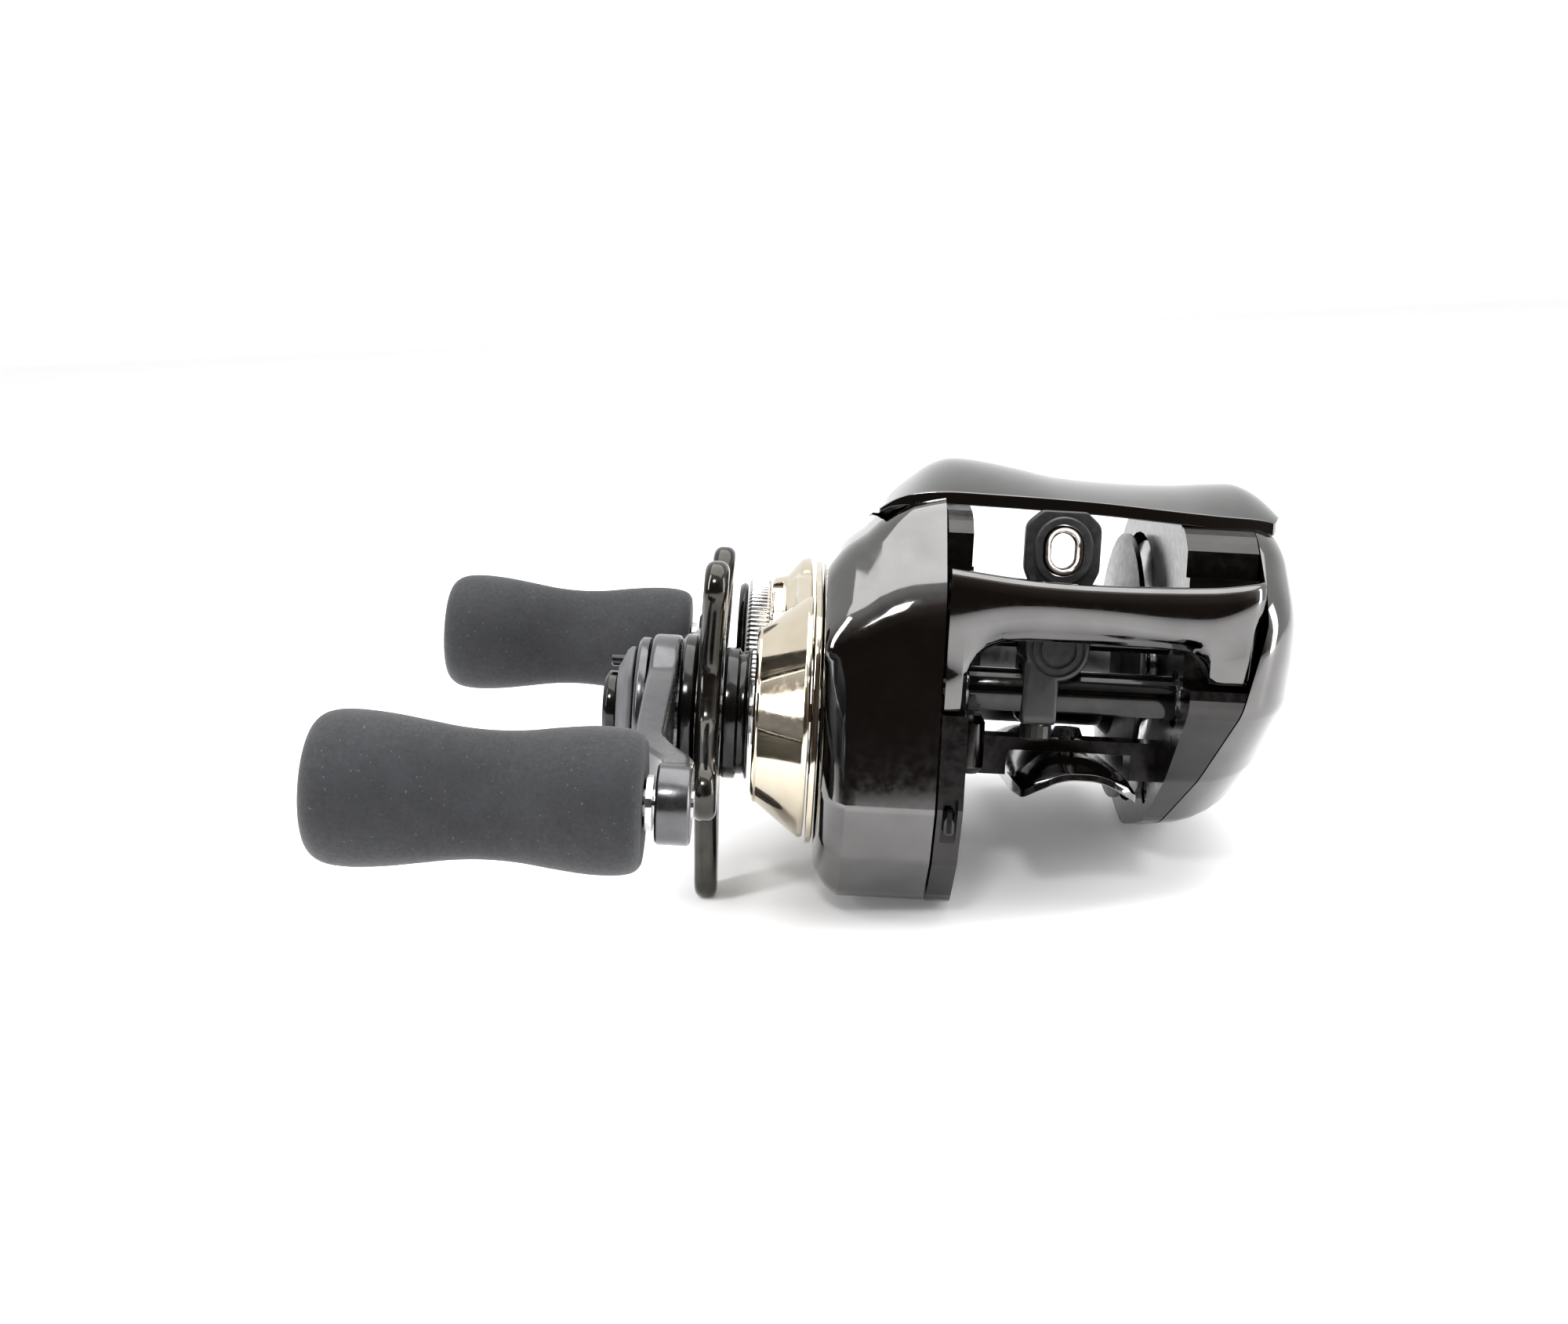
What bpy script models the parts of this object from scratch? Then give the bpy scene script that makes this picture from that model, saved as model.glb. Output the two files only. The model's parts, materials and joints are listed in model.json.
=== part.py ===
"""Low-profile baitcasting reel, built as an assembly of separate parts.

Frame of reference: metres, +Z up, the origin at the middle of the foot's underside. X runs along the
spool axis, with the handle on the -X side. The line leaves towards -Y. Dimensions below are in millimetres.
"""

import math

import bmesh
import bpy
from mathutils import Matrix, Vector

MM = 0.001
GAP = 0.3

# Main axes, all parallel to X, as (y, z)
DRIVE = (-13.5, 4.4)
SPOOL = (6.2, 11.4)
WORM = (-24.0, 10.1)
ROD = (-20.3, 16.2)

# Gear pairs: teeth, with the pitch radii following from the centre distances
DRIVE_TEETH, PINION_TEETH = 65, 12
IDLER_TEETH, WORM_TEETH = 24, 16

# Side planes of the body
COVER_OUT = -31.6
PARTING = -17.8
WALL_IN = -14.5
RIGHT_IN = 11.0
PALM_OUT = 28.4
PALM_CENTRE = (2.0, 14.0)
PART_TOP, PART_LOW = 19.5, 12.4
WALL = 1.3

# Spool
SPOOL_R, ARBOR_R = 18.0, 8.4
FLANGE_LEFT, FLANGE_RIGHT = -14.1, 9.8

# Handle
HANDLE_HALF = 41.0
HANDLE_TILT = math.radians(7.5)
KNOB_IN, KNOB_OUT = -50.3, -85.5

# Line guide
GUIDE_X, GUIDE_Y, RING_Z = -4.0, -26.4, 27.3
PAWL_X = GUIDE_X - 1.5

# Foot
FOOT_HALF_LEN, FOOT_HALF_WIDTH, FOOT_ARCH = 28.0, 7.35, 3.0
FOOT_SCREWS = (-12.7, 25.6)

# Screw that holds the palm side, as (y, z)
SIDE_SCREW = (-9.0, -3.4)

# Side outlines as (y, z, corner radius)
GEAR_SIDE = [
    (-33.0, -4.0, 2.0), (-33.0, 21.0, 7.0), (-24.0, 31.0, 7.0), (-10.0, 33.6, 8.0), (5.0, 34.0, 10.0),
    (18.0, 31.5, 10.0), (30.0, 23.0, 9.0), (33.0, 8.0, 10.0), (24.0, -4.0, 10.0),
    (8.0, -13.0, 10.0), (-6.0, -16.9, 8.0), (-22.0, -16.9, 6.0), (-29.5, -10.5, 3.0),
]
PALM_SIDE = [
    (-33.0, 9.5, 3.0), (-33.0, 21.0, 7.0), (-23.5, 30.6, 7.0), (-10.0, 33.8, 8.0), (5.0, 34.2, 10.0),
    (16.0, 31.8, 10.0), (27.0, 23.0, 9.0), (28.5, 8.0, 12.0), (20.0, -6.5, 12.0),
    (6.0, -10.4, 12.0), (-9.0, -7.5, 10.0), (-22.0, 0.0, 10.0),
]


def clear_scene():
    for obj in list(bpy.data.objects):
        bpy.data.objects.remove(obj, do_unlink=True)


def new_collection(name):
    collection = bpy.data.collections.new(name)
    bpy.context.scene.collection.children.link(collection)
    return collection


clear_scene()
PARTS = new_collection("baitcasting_reel")
CUTTERS = new_collection("cutters")


# ---------------------------------------------------------------- materials

def finish(name, colour, roughness, metallic):
    material = bpy.data.materials.new(name)
    material.use_nodes = True
    shader = material.node_tree.nodes["Principled BSDF"]
    shader.inputs["Base Color"].default_value = (*colour, 1.0)
    shader.inputs["Roughness"].default_value = roughness
    shader.inputs["Metallic"].default_value = metallic
    return material


FINISHES = {
    "gunmetal": ((0.10, 0.095, 0.09), 0.14, 1.0),
    "black": ((0.012, 0.012, 0.013), 0.22, 0.3),
    "gold": ((0.72, 0.62, 0.42), 0.12, 1.0),
    "silver": ((0.62, 0.62, 0.63), 0.25, 1.0),
    "steel": ((0.55, 0.55, 0.56), 0.3, 1.0),
    "brass": ((0.70, 0.52, 0.25), 0.3, 1.0),
    "rubber": ((0.045, 0.046, 0.05), 0.75, 0.0),
    "carbon": ((0.03, 0.03, 0.03), 0.6, 0.0),
    "nylon": ((0.75, 0.74, 0.70), 0.5, 0.0),
}


def own_finish(obj, kind):
    """Each part has a material of its own, in one of the reel's finishes."""
    colour, roughness, metallic = FINISHES[kind]
    obj.data.materials.append(finish(obj.name + "_" + kind, colour, roughness, metallic))


# ---------------------------------------------------------------- makers

def mesh_object(name, vertices, faces, collection=PARTS):
    mesh = bpy.data.meshes.new(name)
    mesh.from_pydata([tuple(c * MM for c in v) for v in vertices], [], faces)
    mesh.validate()
    mesh.shade_smooth()
    mesh.set_sharp_from_angle(angle=math.radians(32))
    obj = bpy.data.objects.new(name, mesh)
    collection.objects.link(obj)
    return obj


def cutter_look(obj):
    for collection in list(obj.users_collection):
        collection.objects.unlink(obj)
    CUTTERS.objects.link(obj)
    obj.hide_render = True
    obj.display_type = "WIRE"


def boolean(obj, other, operation="DIFFERENCE"):
    modifier = obj.modifiers.new(operation.lower(), "BOOLEAN")
    modifier.operation = operation
    modifier.object = other
    modifier.solver = "EXACT"
    cutter_look(other)


def bevel(obj, width, segments=1, angle=40):
    modifier = obj.modifiers.new("bevel", "BEVEL")
    modifier.width = width * MM
    modifier.segments = segments
    modifier.limit_method = "ANGLE"
    modifier.angle_limit = math.radians(angle)


def turned(name, profile, centre, kind, steps=20, closed=False):
    """A turned part about an axis parallel to X; its profile is (radius, x) points, outside from +x to -x."""
    mesh = bpy.data.meshes.new(name)
    points = [(radius * MM, 0.0, x * MM) for radius, x in profile]
    edges = [(i, i + 1) for i in range(len(points) - 1)]
    if closed:
        edges.append((len(points) - 1, 0))
    mesh.from_pydata(points, edges, [])
    obj = bpy.data.objects.new(name, mesh)
    PARTS.objects.link(obj)
    obj.location = (0.0, centre[0] * MM, centre[1] * MM)
    obj.rotation_euler = (0.0, math.radians(90), 0.0)
    screw = obj.modifiers.new("turn", "SCREW")
    screw.steps = steps
    screw.render_steps = steps
    screw.use_merge_vertices = True
    screw.merge_threshold = 0.00001
    screw.use_smooth_shade = True
    if kind:
        own_finish(obj, kind)
    return obj


def rod(name, x0, x1, radius, centre, kind, steps=16, chamfer=0.2):
    c = chamfer
    profile = [(0, x1), (radius - c, x1), (radius, x1 - c), (radius, x0 + c), (radius - c, x0), (0, x0)]
    if not c:
        profile = [(0, x1), (radius, x1), (radius, x0), (0, x0)]
    return turned(name, profile, centre, kind, steps)


def ring(name, x0, x1, outer, inner, centre, kind, steps=16):
    profile = [(inner, x1), (outer, x1), (outer, x0), (inner, x0)]
    return turned(name, profile, centre, kind, steps, closed=True)


def hole(x0, x1, radius, centre, steps=16):
    return rod("hole", x0, x1, radius, centre, None, steps, chamfer=0)


def box(name, low, high, kind=None, edge=0.0):
    mesh = bpy.data.meshes.new(name)
    shape = bmesh.new()
    bmesh.ops.create_cube(shape, size=1.0)
    size = [(b - a) * MM for a, b in zip(low, high)]
    middle = [(a + b) / 2 * MM for a, b in zip(low, high)]
    bmesh.ops.transform(shape, matrix=Matrix.Diagonal((*size, 1.0)), verts=shape.verts)
    bmesh.ops.translate(shape, vec=middle, verts=shape.verts)
    shape.to_mesh(mesh)
    shape.free()
    obj = bpy.data.objects.new(name, mesh)
    PARTS.objects.link(obj)
    if kind:
        own_finish(obj, kind)
    if edge:
        bevel(obj, edge)
    return obj


def rounded(corners, segments=3):
    """A closed outline with an arc at each corner; corners are (u, v, radius)."""
    points = []
    count = len(corners)
    for i, (u, v, radius) in enumerate(corners):
        here = Vector((u, v))
        back = Vector(corners[i - 1][:2]) - here
        ahead = Vector(corners[(i + 1) % count][:2]) - here
        half = back.angle(ahead) / 2
        reach = min(radius / math.tan(half), back.length * 0.48, ahead.length * 0.48)
        start = here + back.normalized() * reach
        end = here + ahead.normalized() * reach
        for k in range(segments + 1):
            t = k / segments
            points.append(tuple(start * (1 - t) ** 2 + here * 2 * t * (1 - t) + end * t ** 2))
    return points


def prism_x(name, outline, x0, x1, kind=None, edge=0.0):
    """A flat outline of (y, z) points, extruded along X."""
    count = len(outline)
    vertices = [(x0, y, z) for y, z in outline] + [(x1, y, z) for y, z in outline]
    faces = [(i, (i + 1) % count, count + (i + 1) % count, count + i) for i in range(count)]
    faces.append(tuple(reversed(range(count))))
    faces.append(tuple(range(count, 2 * count)))
    obj = mesh_object(name, vertices, faces)
    face_out(obj)
    if kind:
        own_finish(obj, kind)
    if edge:
        bevel(obj, edge)
    return obj


def face_out(obj):
    shape = bmesh.new()
    shape.from_mesh(obj.data)
    bmesh.ops.recalc_face_normals(shape, faces=shape.faces)
    shape.to_mesh(obj.data)
    shape.free()


def extrude_y(name, outline, y0, y1, kind=None, edge=0.0, segments=1):
    """A flat outline of (x, z) points, extruded along Y."""
    count = len(outline)
    vertices = [(x, y0, z) for x, z in outline] + [(x, y1, z) for x, z in outline]
    faces = [(i, (i + 1) % count, count + (i + 1) % count, count + i) for i in range(count)]
    faces.append(tuple(reversed(range(count))))
    faces.append(tuple(range(count, 2 * count)))
    obj = mesh_object(name, vertices, faces)
    face_out(obj)
    if kind:
        own_finish(obj, kind)
    if edge:
        bevel(obj, edge, segments)
    return obj


def shell(name, rows, thickness, kind):
    """A domed shell: rows of points from the open rim to the outer face, thickened inwards."""
    count = len(rows[0])
    vertices = [p for row in rows for p in row]
    faces = []
    for r in range(len(rows) - 1):
        for i in range(count):
            a, b = r * count + i, r * count + (i + 1) % count
            faces.append((a, b, b + count, a + count))
    faces.append(tuple(range((len(rows) - 1) * count, len(rows) * count)))
    obj = mesh_object(name, vertices, faces)
    face_out(obj)
    outward = rows[-1][0][0] - rows[0][0][0]
    if obj.data.polygons[-1].normal.x * outward < 0:
        obj.data.flip_normals()
    own_finish(obj, kind)
    solid = obj.modifiers.new("wall", "SOLIDIFY")
    solid.thickness = thickness * MM
    solid.offset = -1.0
    solid.use_rim = True
    return obj


# ---------------------------------------------------------------- body surfaces

def smooth_step(t):
    t = min(max(t, 0.0), 1.0)
    return t * t * (3 - 2 * t)


def straight(points, x):
    """Straight runs through (x, value) points."""
    if x <= points[0][0]:
        return points[0][1]
    for (x0, v0), (x1, v1) in zip(points, points[1:]):
        if x <= x1:
            return v0 + (v1 - v0) * (x - x0) / (x1 - x0)
    return points[-1][1]


HOOD_RIDGE = [
    (-25.7, 31.0), (-21.3, 35.3), (-16.5, 38.0), (-8.0, 37.2), (4.3, 35.9), (20.3, 36.5), (22.6, 35.4),
    (24.4, 33.4), (26.0, 30.6),
]
HOOD_LIP = [(-25.7, 31.2), (-19.0, 33.1), (-5.0, 33.4), (8.7, 32.6), (22.0, 31.1), (26.0, 30.0)]
HOOD_FRONT, HOOD_PEAK, HOOD_REAR = -22.5, -5.0, 4.0
HOOD_LEFT = -25.7
HOOD_THICK = 1.6


def hood_top(x, y):
    """Height of the hood: a ridge across the reel, falling to the lip in front."""
    ridge = straight(HOOD_RIDGE, x)
    along = (y - HOOD_PEAK) / (HOOD_PEAK - HOOD_FRONT)
    if y < HOOD_PEAK:
        return ridge - (ridge - straight(HOOD_LIP, x)) * along ** 2
    return ridge - 1.6 * along ** 2


def hood_wall(x):
    """The hood is thin at its pointed left end."""
    return 0.6 + (HOOD_THICK - 0.6) * smooth_step((x - HOOD_LEFT) / 5.0)


def hood_right(y):
    """Seen from above, the hood ends along the palm side's dome."""
    across = min(0.96, abs(y - PALM_CENTRE[0]) / 25.5)
    return PART_TOP + 6.4 * math.sqrt(1 - across * across)


def hood_slab(name, margin, above):
    """The hood's sheet over the front half of the body, made larger all round by a margin."""
    columns, rows = 22, 6
    left = HOOD_LEFT - margin
    tops, bottoms = [], []
    for j in range(rows + 1):
        for i in range(columns + 1):
            u = i / columns
            front = HOOD_FRONT - margin + 1.6 * (2 * u - 1) ** 2
            y = front + (HOOD_REAR + margin - front) * j / rows
            x = left + (hood_right(y) + margin - left) * u
            tops.append((x, y, hood_top(x, y) + above))
            bottoms.append((x, y, hood_top(x, y) - hood_wall(x) - margin))
    return mesh_object(name, tops + bottoms, sheet_faces(columns, rows))


def sheet_faces(columns, rows):
    """Faces of a closed sheet: a grid on top, the same grid below, and a rim."""
    width = columns + 1
    count = width * (rows + 1)
    faces = []
    for j in range(rows):
        for i in range(columns):
            a = j * width + i
            faces.append((a, a + 1, a + width + 1, a + width))
            faces.append((count + a, count + a + width, count + a + width + 1, count + a + 1))
    rim = list(range(width)) + [j * width + columns for j in range(1, rows + 1)]
    rim += [rows * width + i for i in range(columns - 1, -1, -1)]
    rim += [j * width for j in range(rows - 1, 0, -1)]
    for a, b in zip(rim, rim[1:] + rim[:1]):
        faces.append((b, a, a + count, b + count))
    return faces


def make_hood():
    hood = hood_slab("hood", 0.0, 0.0)
    face_out(hood)
    own_finish(hood, "gunmetal")


def hood_room():
    """The space that the hood and everything above it takes from the side parts."""
    room = hood_slab("hood_room", GAP, 10.0)
    face_out(room)
    return room


def gear_squash(x):
    """How much the top of the gear side drops towards the handle."""
    knots = [
        (COVER_OUT, 0.68), (-29.6, 0.76), (-27.2, 0.82), (-25.5, 0.88), (-22.0, 0.96), (PARTING - 1.2, 1.0),
    ]
    return straight(knots, x)


def gear_row(x, amount):
    """One row of the gear side, drawn in by an amount that fades out towards the top."""
    squash = gear_squash(x)
    row = []
    for y, z in rounded(GEAR_SIDE):
        reach = math.hypot(y, z - 8.0)
        pull = 1 - amount * (1 - 0.8 * smooth_step((z - 8.0) / 14.0)) / reach
        y, z = y * pull, 8.0 + (z - 8.0) * pull
        if z > DRIVE[1]:
            z = DRIVE[1] + (z - DRIVE[1]) * squash
        row.append((x, y, z))
    return row


def palm_parting(z):
    """The seam of the palm side leans in below the nose, and is upright above it."""
    lean = (PART_TOP - PART_LOW) / 31.0
    return min(PART_TOP, PART_LOW + lean * (z + 11.0))


def palm_row(t):
    """One row of the palm side's dome: t runs from the seam (0) to the outermost point (1)."""
    scale = math.sqrt(1 - t * t)
    row = []
    for y, z in rounded(PALM_SIDE):
        y = PALM_CENTRE[0] + (y - PALM_CENTRE[0]) * scale
        z = PALM_CENTRE[1] + (z - PALM_CENTRE[1]) * scale
        start = palm_parting(z) + GAP
        row.append((start + (PALM_OUT - start) * t, y, z))
    return row


def wall_room():
    """The space on the spool side of the palm seam, with a gap."""
    return seam_block("wall_room", GAP, -30.0)


def palm_room():
    """The space on the palm side of the seam."""
    return seam_block("palm_room", 0.0, 60.0)


def seam_block(name, gap, far):
    low, turn, high = -30.0, 20.0, 60.0
    edge = PART_TOP + gap
    outline = [(palm_parting(low) + gap, low), (edge, turn), (edge, high), (far, high), (far, low)]
    return extrude_y(name, outline, -60.0, 60.0)


# ---------------------------------------------------------------- fixed body

def make_frame():
    left = prism_x("frame", rounded(GEAR_SIDE), PARTING + GAP, WALL_IN, "gunmetal")
    right = prism_x("right_wall", rounded(PALM_SIDE), RIGHT_IN, PART_TOP)
    lower = box("lower_bar", (-16.0, -15.2, -1.4), (13.0, -10.2, 3.4))
    rear = box("rear_bar", (-16.0, 24.0, 2.6), (13.0, 28.0, 5.0))
    for piece in (right, lower, rear):
        boolean(left, piece, "UNION")
    nose_room = box("nose_room", (-40.0, -40.0, 7.6), (WALL_IN + 0.5, -28.2, 25.0))
    nose_right = box("nose_room_right", (RIGHT_IN - 1.0, -40.0, 12.0), (40.0, -28.2, 25.0))
    upper = box("upper_room", (-40.0, -40.0, 24.9), (40.0, -26.0, 50.0))
    foot_room = box("foot_room", (-7.8, -30.0, -6.0), (7.8, 30.0, 1.8))
    for cut in (nose_room, nose_right, upper, foot_room, palm_room(), hood_room()):
        boolean(left, cut)
    for cut in (
        hole(RIGHT_IN - 1, 30.0, 18.35, SPOOL, 40),
        hole(RIGHT_IN - 1, 30.0, 0.85, SIDE_SCREW),
        hole(RIGHT_IN - 1, 12.5, 1.75, SIDE_SCREW),
        box("button_pocket", (-16.9, -36.0, -7.9), (-15.1, -31.0, -2.2)),
        hole(-30.0, -14.0, 4.9, SPOOL),
        hole(-30.0, -14.0, 4.9, DRIVE),
        hole(-30.0, -14.0, 1.55, WORM),
        hole(RIGHT_IN - 1, 30.0, 3.6, WORM),
        box("bar_slot", (-20.0, 25.2, 9.6), (-14.0, 28.9, 20.4)),
    ):
        boolean(left, cut)
    for name, centre in yoke_posts():
        boolean(left, rod("yoke_post", -29.9, -15.0, 0.9, centre, None, 14), "UNION")
    for y in FOOT_SCREWS:
        boolean(left, upright("screw_room", y, [(0, 9.0), (1.25, 9.0), (1.25, 0.0), (0, 0.0)]))


def make_gear_cover():
    flat_front = [gear_row(x, 0.0) for x in (PARTING, PARTING - 1.2, -22.0, -25.5, -28.3)]
    rows = flat_front + [gear_row(-30.4, 2.0), gear_row(COVER_OUT, 5.0)]
    cover = shell("gear_side_cover", rows, WALL, "gunmetal")
    boolean(cover, hood_room())
    boolean(cover, hole(-40, -25, 6.0, DRIVE))
    boolean(cover, hole(-40, -25, 6.0, SPOOL))


def make_palm_cover():
    rows = [palm_row(t) for t in (-0.12, 0.12, 0.4, 0.64, 0.82, 0.93, 0.985)]
    cover = shell("palm_side_cover", rows, WALL, "gunmetal")
    boolean(cover, wall_room())
    boolean(cover, hood_room())


def make_nose():
    """The bar in front of the line guide, with a short leg at each end."""
    outline = rounded([
        (-17.5, 7.9, 0.2), (-17.5, 24.6, 0.6), (1.0, 24.0, 20.0), (19.4, 24.6, 0.8),
        (19.4, 20.0, 0.8), (17.6, 12.3, 0.2), (12.6, 12.3, 0.2), (9.5, 16.6, 2.5),
        (-10.8, 16.6, 4.5), (-14.5, 7.9, 0.3),
    ], 3)
    extrude_y("nose_cover", outline, -33.0, -28.5, "gunmetal", 0.8, 2)


def make_foot():
    """The arched seat that clamps to the rod, with thin tapered ends."""
    across = [-1.0, -0.62, -0.25, 0.25, 0.62, 1.0]
    along = [-1.0, -0.94, -0.8, -0.5, 0.5, 0.8, 0.94, 1.0]
    tops, bottoms = [], []
    for v in along:
        ends = smooth_step((abs(v) - 0.6) / 0.4)
        half = FOOT_HALF_WIDTH * (1 - 0.08 * ends) * (0.80 if abs(v) == 1.0 else 1.0)
        for u in across:
            drop = FOOT_ARCH * (max(0.0, abs(u) - 0.25) * half / FOOT_HALF_WIDTH / 0.75) ** 2
            bottoms.append((half * u, FOOT_HALF_LEN * v, -drop))
            tops.append((half * u, FOOT_HALF_LEN * v, 1.5 - 0.6 * ends - 0.85 * drop))
    foot = mesh_object("reel_foot", tops + bottoms, sheet_faces(len(across) - 1, len(along) - 1))
    face_out(foot)
    own_finish(foot, "gunmetal")
    for y in FOOT_SCREWS:
        boolean(foot, upright("screw_hole", y, [(0, 9.0), (1.25, 9.0), (1.25, 0.7), (0, 0.7)]))


def upright(name, y, profile, x=0.0, kind=None, steps=16):
    """A turned part about a vertical axis: profile points are (radius, z), outer side from the top down."""
    obj = turned(name, profile, (0.0, 0.0), kind, steps)
    obj.rotation_euler = (0.0, 0.0, 0.0)
    obj.location = (x * MM, y * MM, 0.0)
    return obj


def make_foot_screws():
    front, rear = FOOT_SCREWS
    for name, y, seat in (("foot_screw_front", front, 3.4), ("foot_screw_rear", rear, 5.0)):
        top = seat + GAP
        upright(name, y, [(0, top + 1.0), (1.6, top + 1.0), (2.0, top), (1.0, top), (1.0, 1.0), (0, 1.0)],
                kind="steel")


# ---------------------------------------------------------------- gears

def gear_outline(teeth, pitch, depth_out, depth_in, share, phase):
    """Teeth with straight flanks; share is the tooth's part of the pitch at the pitch circle."""
    points = []
    step = 2 * math.pi / teeth
    for k in range(teeth):
        middle = phase + k * step
        for side, radius, width in (
            (-1, pitch - depth_in, share * 1.35), (-1, pitch + depth_out, share * 0.5),
            (1, pitch + depth_out, share * 0.5), (1, pitch - depth_in, share * 1.35),
        ):
            angle = middle + side * width * step / 2
            points.append((radius * math.cos(angle), radius * math.sin(angle)))
    return points


def gear(name, teeth, pitch, phase, centre, x0, x1, bore, kind, tooth=0.30):
    outline = gear_outline(teeth, pitch, tooth, tooth + 0.12, 0.40, phase)
    outline = [(centre[0] + a, centre[1] + b) for a, b in outline]
    body = prism_x(name, outline, x0, x1, kind)
    boolean(body, hole(x0 - 1, x1 + 1, bore, centre, 24))
    put_origin(body, centre)
    return body


def put_origin(obj, centre, x=0.0):
    """Moves a mesh's origin onto its axis without moving its shape."""
    shift = Vector((x * MM, centre[0] * MM, centre[1] * MM))
    obj.data.transform(Matrix.Translation(-shift))
    obj.location = shift


def heading(a, b):
    return math.atan2(b[1] - a[1], b[0] - a[0])


def centre_distance(a, b):
    return math.hypot(b[0] - a[0], b[1] - a[1])


def pitch_radius(teeth, other, distance):
    return distance * teeth / (teeth + other)


def make_gears():
    far = centre_distance(DRIVE, SPOOL)
    toward = heading(DRIVE, SPOOL)
    gear("drive_gear", DRIVE_TEETH, pitch_radius(DRIVE_TEETH, PINION_TEETH, far), toward, DRIVE,
         -25.2, -22.6, 2.6, "brass")
    pinion = gear("pinion", PINION_TEETH, pitch_radius(PINION_TEETH, DRIVE_TEETH, far),
                  toward + math.pi + math.pi / PINION_TEETH, SPOOL, -28.2, -21.9, 1.7, "steel")
    neck = ring("pinion_neck", -22.2, -19.4, 2.2, 1.7, SPOOL, None, 16)
    tail = ring("pinion_tail", -19.6, -12.7, 2.9, 1.7, SPOOL, None, 16)
    boolean(pinion, neck, "UNION")
    boolean(pinion, tail, "UNION")
    boolean(pinion, box("pin_slot", (-14.6, SPOOL[0] - 4.0, SPOOL[1] - 0.85),
                        (-11.0, SPOOL[0] + 4.0, SPOOL[1] + 0.85)))
    near = centre_distance(DRIVE, WORM)
    across = heading(DRIVE, WORM)
    gear("level_wind_gear", IDLER_TEETH, pitch_radius(IDLER_TEETH, WORM_TEETH, near), across, DRIVE,
         -20.9, -18.9, 2.6, "nylon", 0.42)
    gear("worm_gear", WORM_TEETH, pitch_radius(WORM_TEETH, IDLER_TEETH, near),
         across + math.pi + math.pi / WORM_TEETH, WORM, -20.9, -18.9, 1.6, "nylon", 0.42)


# ---------------------------------------------------------------- drive train

def make_drive_train():
    turned("drive_shaft", [
        (0, -15.4), (2.4, -15.4), (2.4, -18.4), (2.5, -18.5), (2.5, -57.2), (2.2, -57.5), (0, -57.5),
    ], DRIVE, "steel", 24)
    ring("drive_shaft_bearing", -17.4, -15.3, 4.8, 2.6, DRIVE, "steel")
    ring("anti_reverse_ratchet", -22.3, -21.2, 8.6, 2.6, DRIVE, "steel", 20)
    ring("drag_washer", -26.3, -25.5, 11.5, 2.7, DRIVE, "carbon", 24)
    ring("drag_pressure_plate", -27.4, -26.6, 11.0, 2.7, DRIVE, "steel", 24)
    ring("clutch_sleeve", -40.0, -28.8, 4.0, 2.6, DRIVE, "steel")
    ring("one_way_clutch", -38.9, -31.9, 5.8, 4.15, DRIVE, "steel")
    ring("star_sleeve", -43.6, -40.3, 8.3, 2.6, DRIVE, "black", 24)


def make_star():
    """Five spokes on a round hub, leaning a little towards the body at their tips."""
    stations = ((-0.50, 9.6), (-0.26, 11.6), (-0.15, 16.5), (-0.115, 22.4), (-0.05, 23.9))
    outline = []
    for k in range(5):
        middle = math.radians(-90 + 2.5 + 72 * k)
        for turn, radius in stations + tuple((-turn, radius) for turn, radius in reversed(stations)):
            angle = middle + turn
            outline.append((radius, DRIVE[0] + radius * math.cos(angle), DRIVE[1] + radius * math.sin(angle)))
    count, per = len(outline), 2 * len(stations)
    vertices = []
    for x in (-46.6, -43.9):
        vertices += [(x + 0.5 * smooth_step((radius - 9.6) / 14.4), y, z) for radius, y, z in outline]
    faces = []
    for base in (0, count):
        faces.append(tuple(base + per * k + i for k in range(5) for i in (0, per - 1)))
        for k in range(5):
            first = base + per * k
            for i in range(len(stations) - 1):
                faces.append((first + i, first + i + 1, first + per - 2 - i, first + per - 1 - i))
    for i in range(count):
        faces.append((i, (i + 1) % count, count + (i + 1) % count, count + i))
    star = mesh_object("star_drag", vertices, faces)
    face_out(star)
    own_finish(star, "black")
    bevel(star, 0.7, 1, 60)
    boolean(star, hole(-60, -30, 2.6, DRIVE))
    put_origin(star, DRIVE)


def knob_axis(side):
    """The (y, z) of a knob's axis; side -1 is the front end of the handle."""
    return (DRIVE[0] + side * HANDLE_HALF * math.cos(HANDLE_TILT),
            DRIVE[1] + side * HANDLE_HALF * math.sin(HANDLE_TILT))


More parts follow.
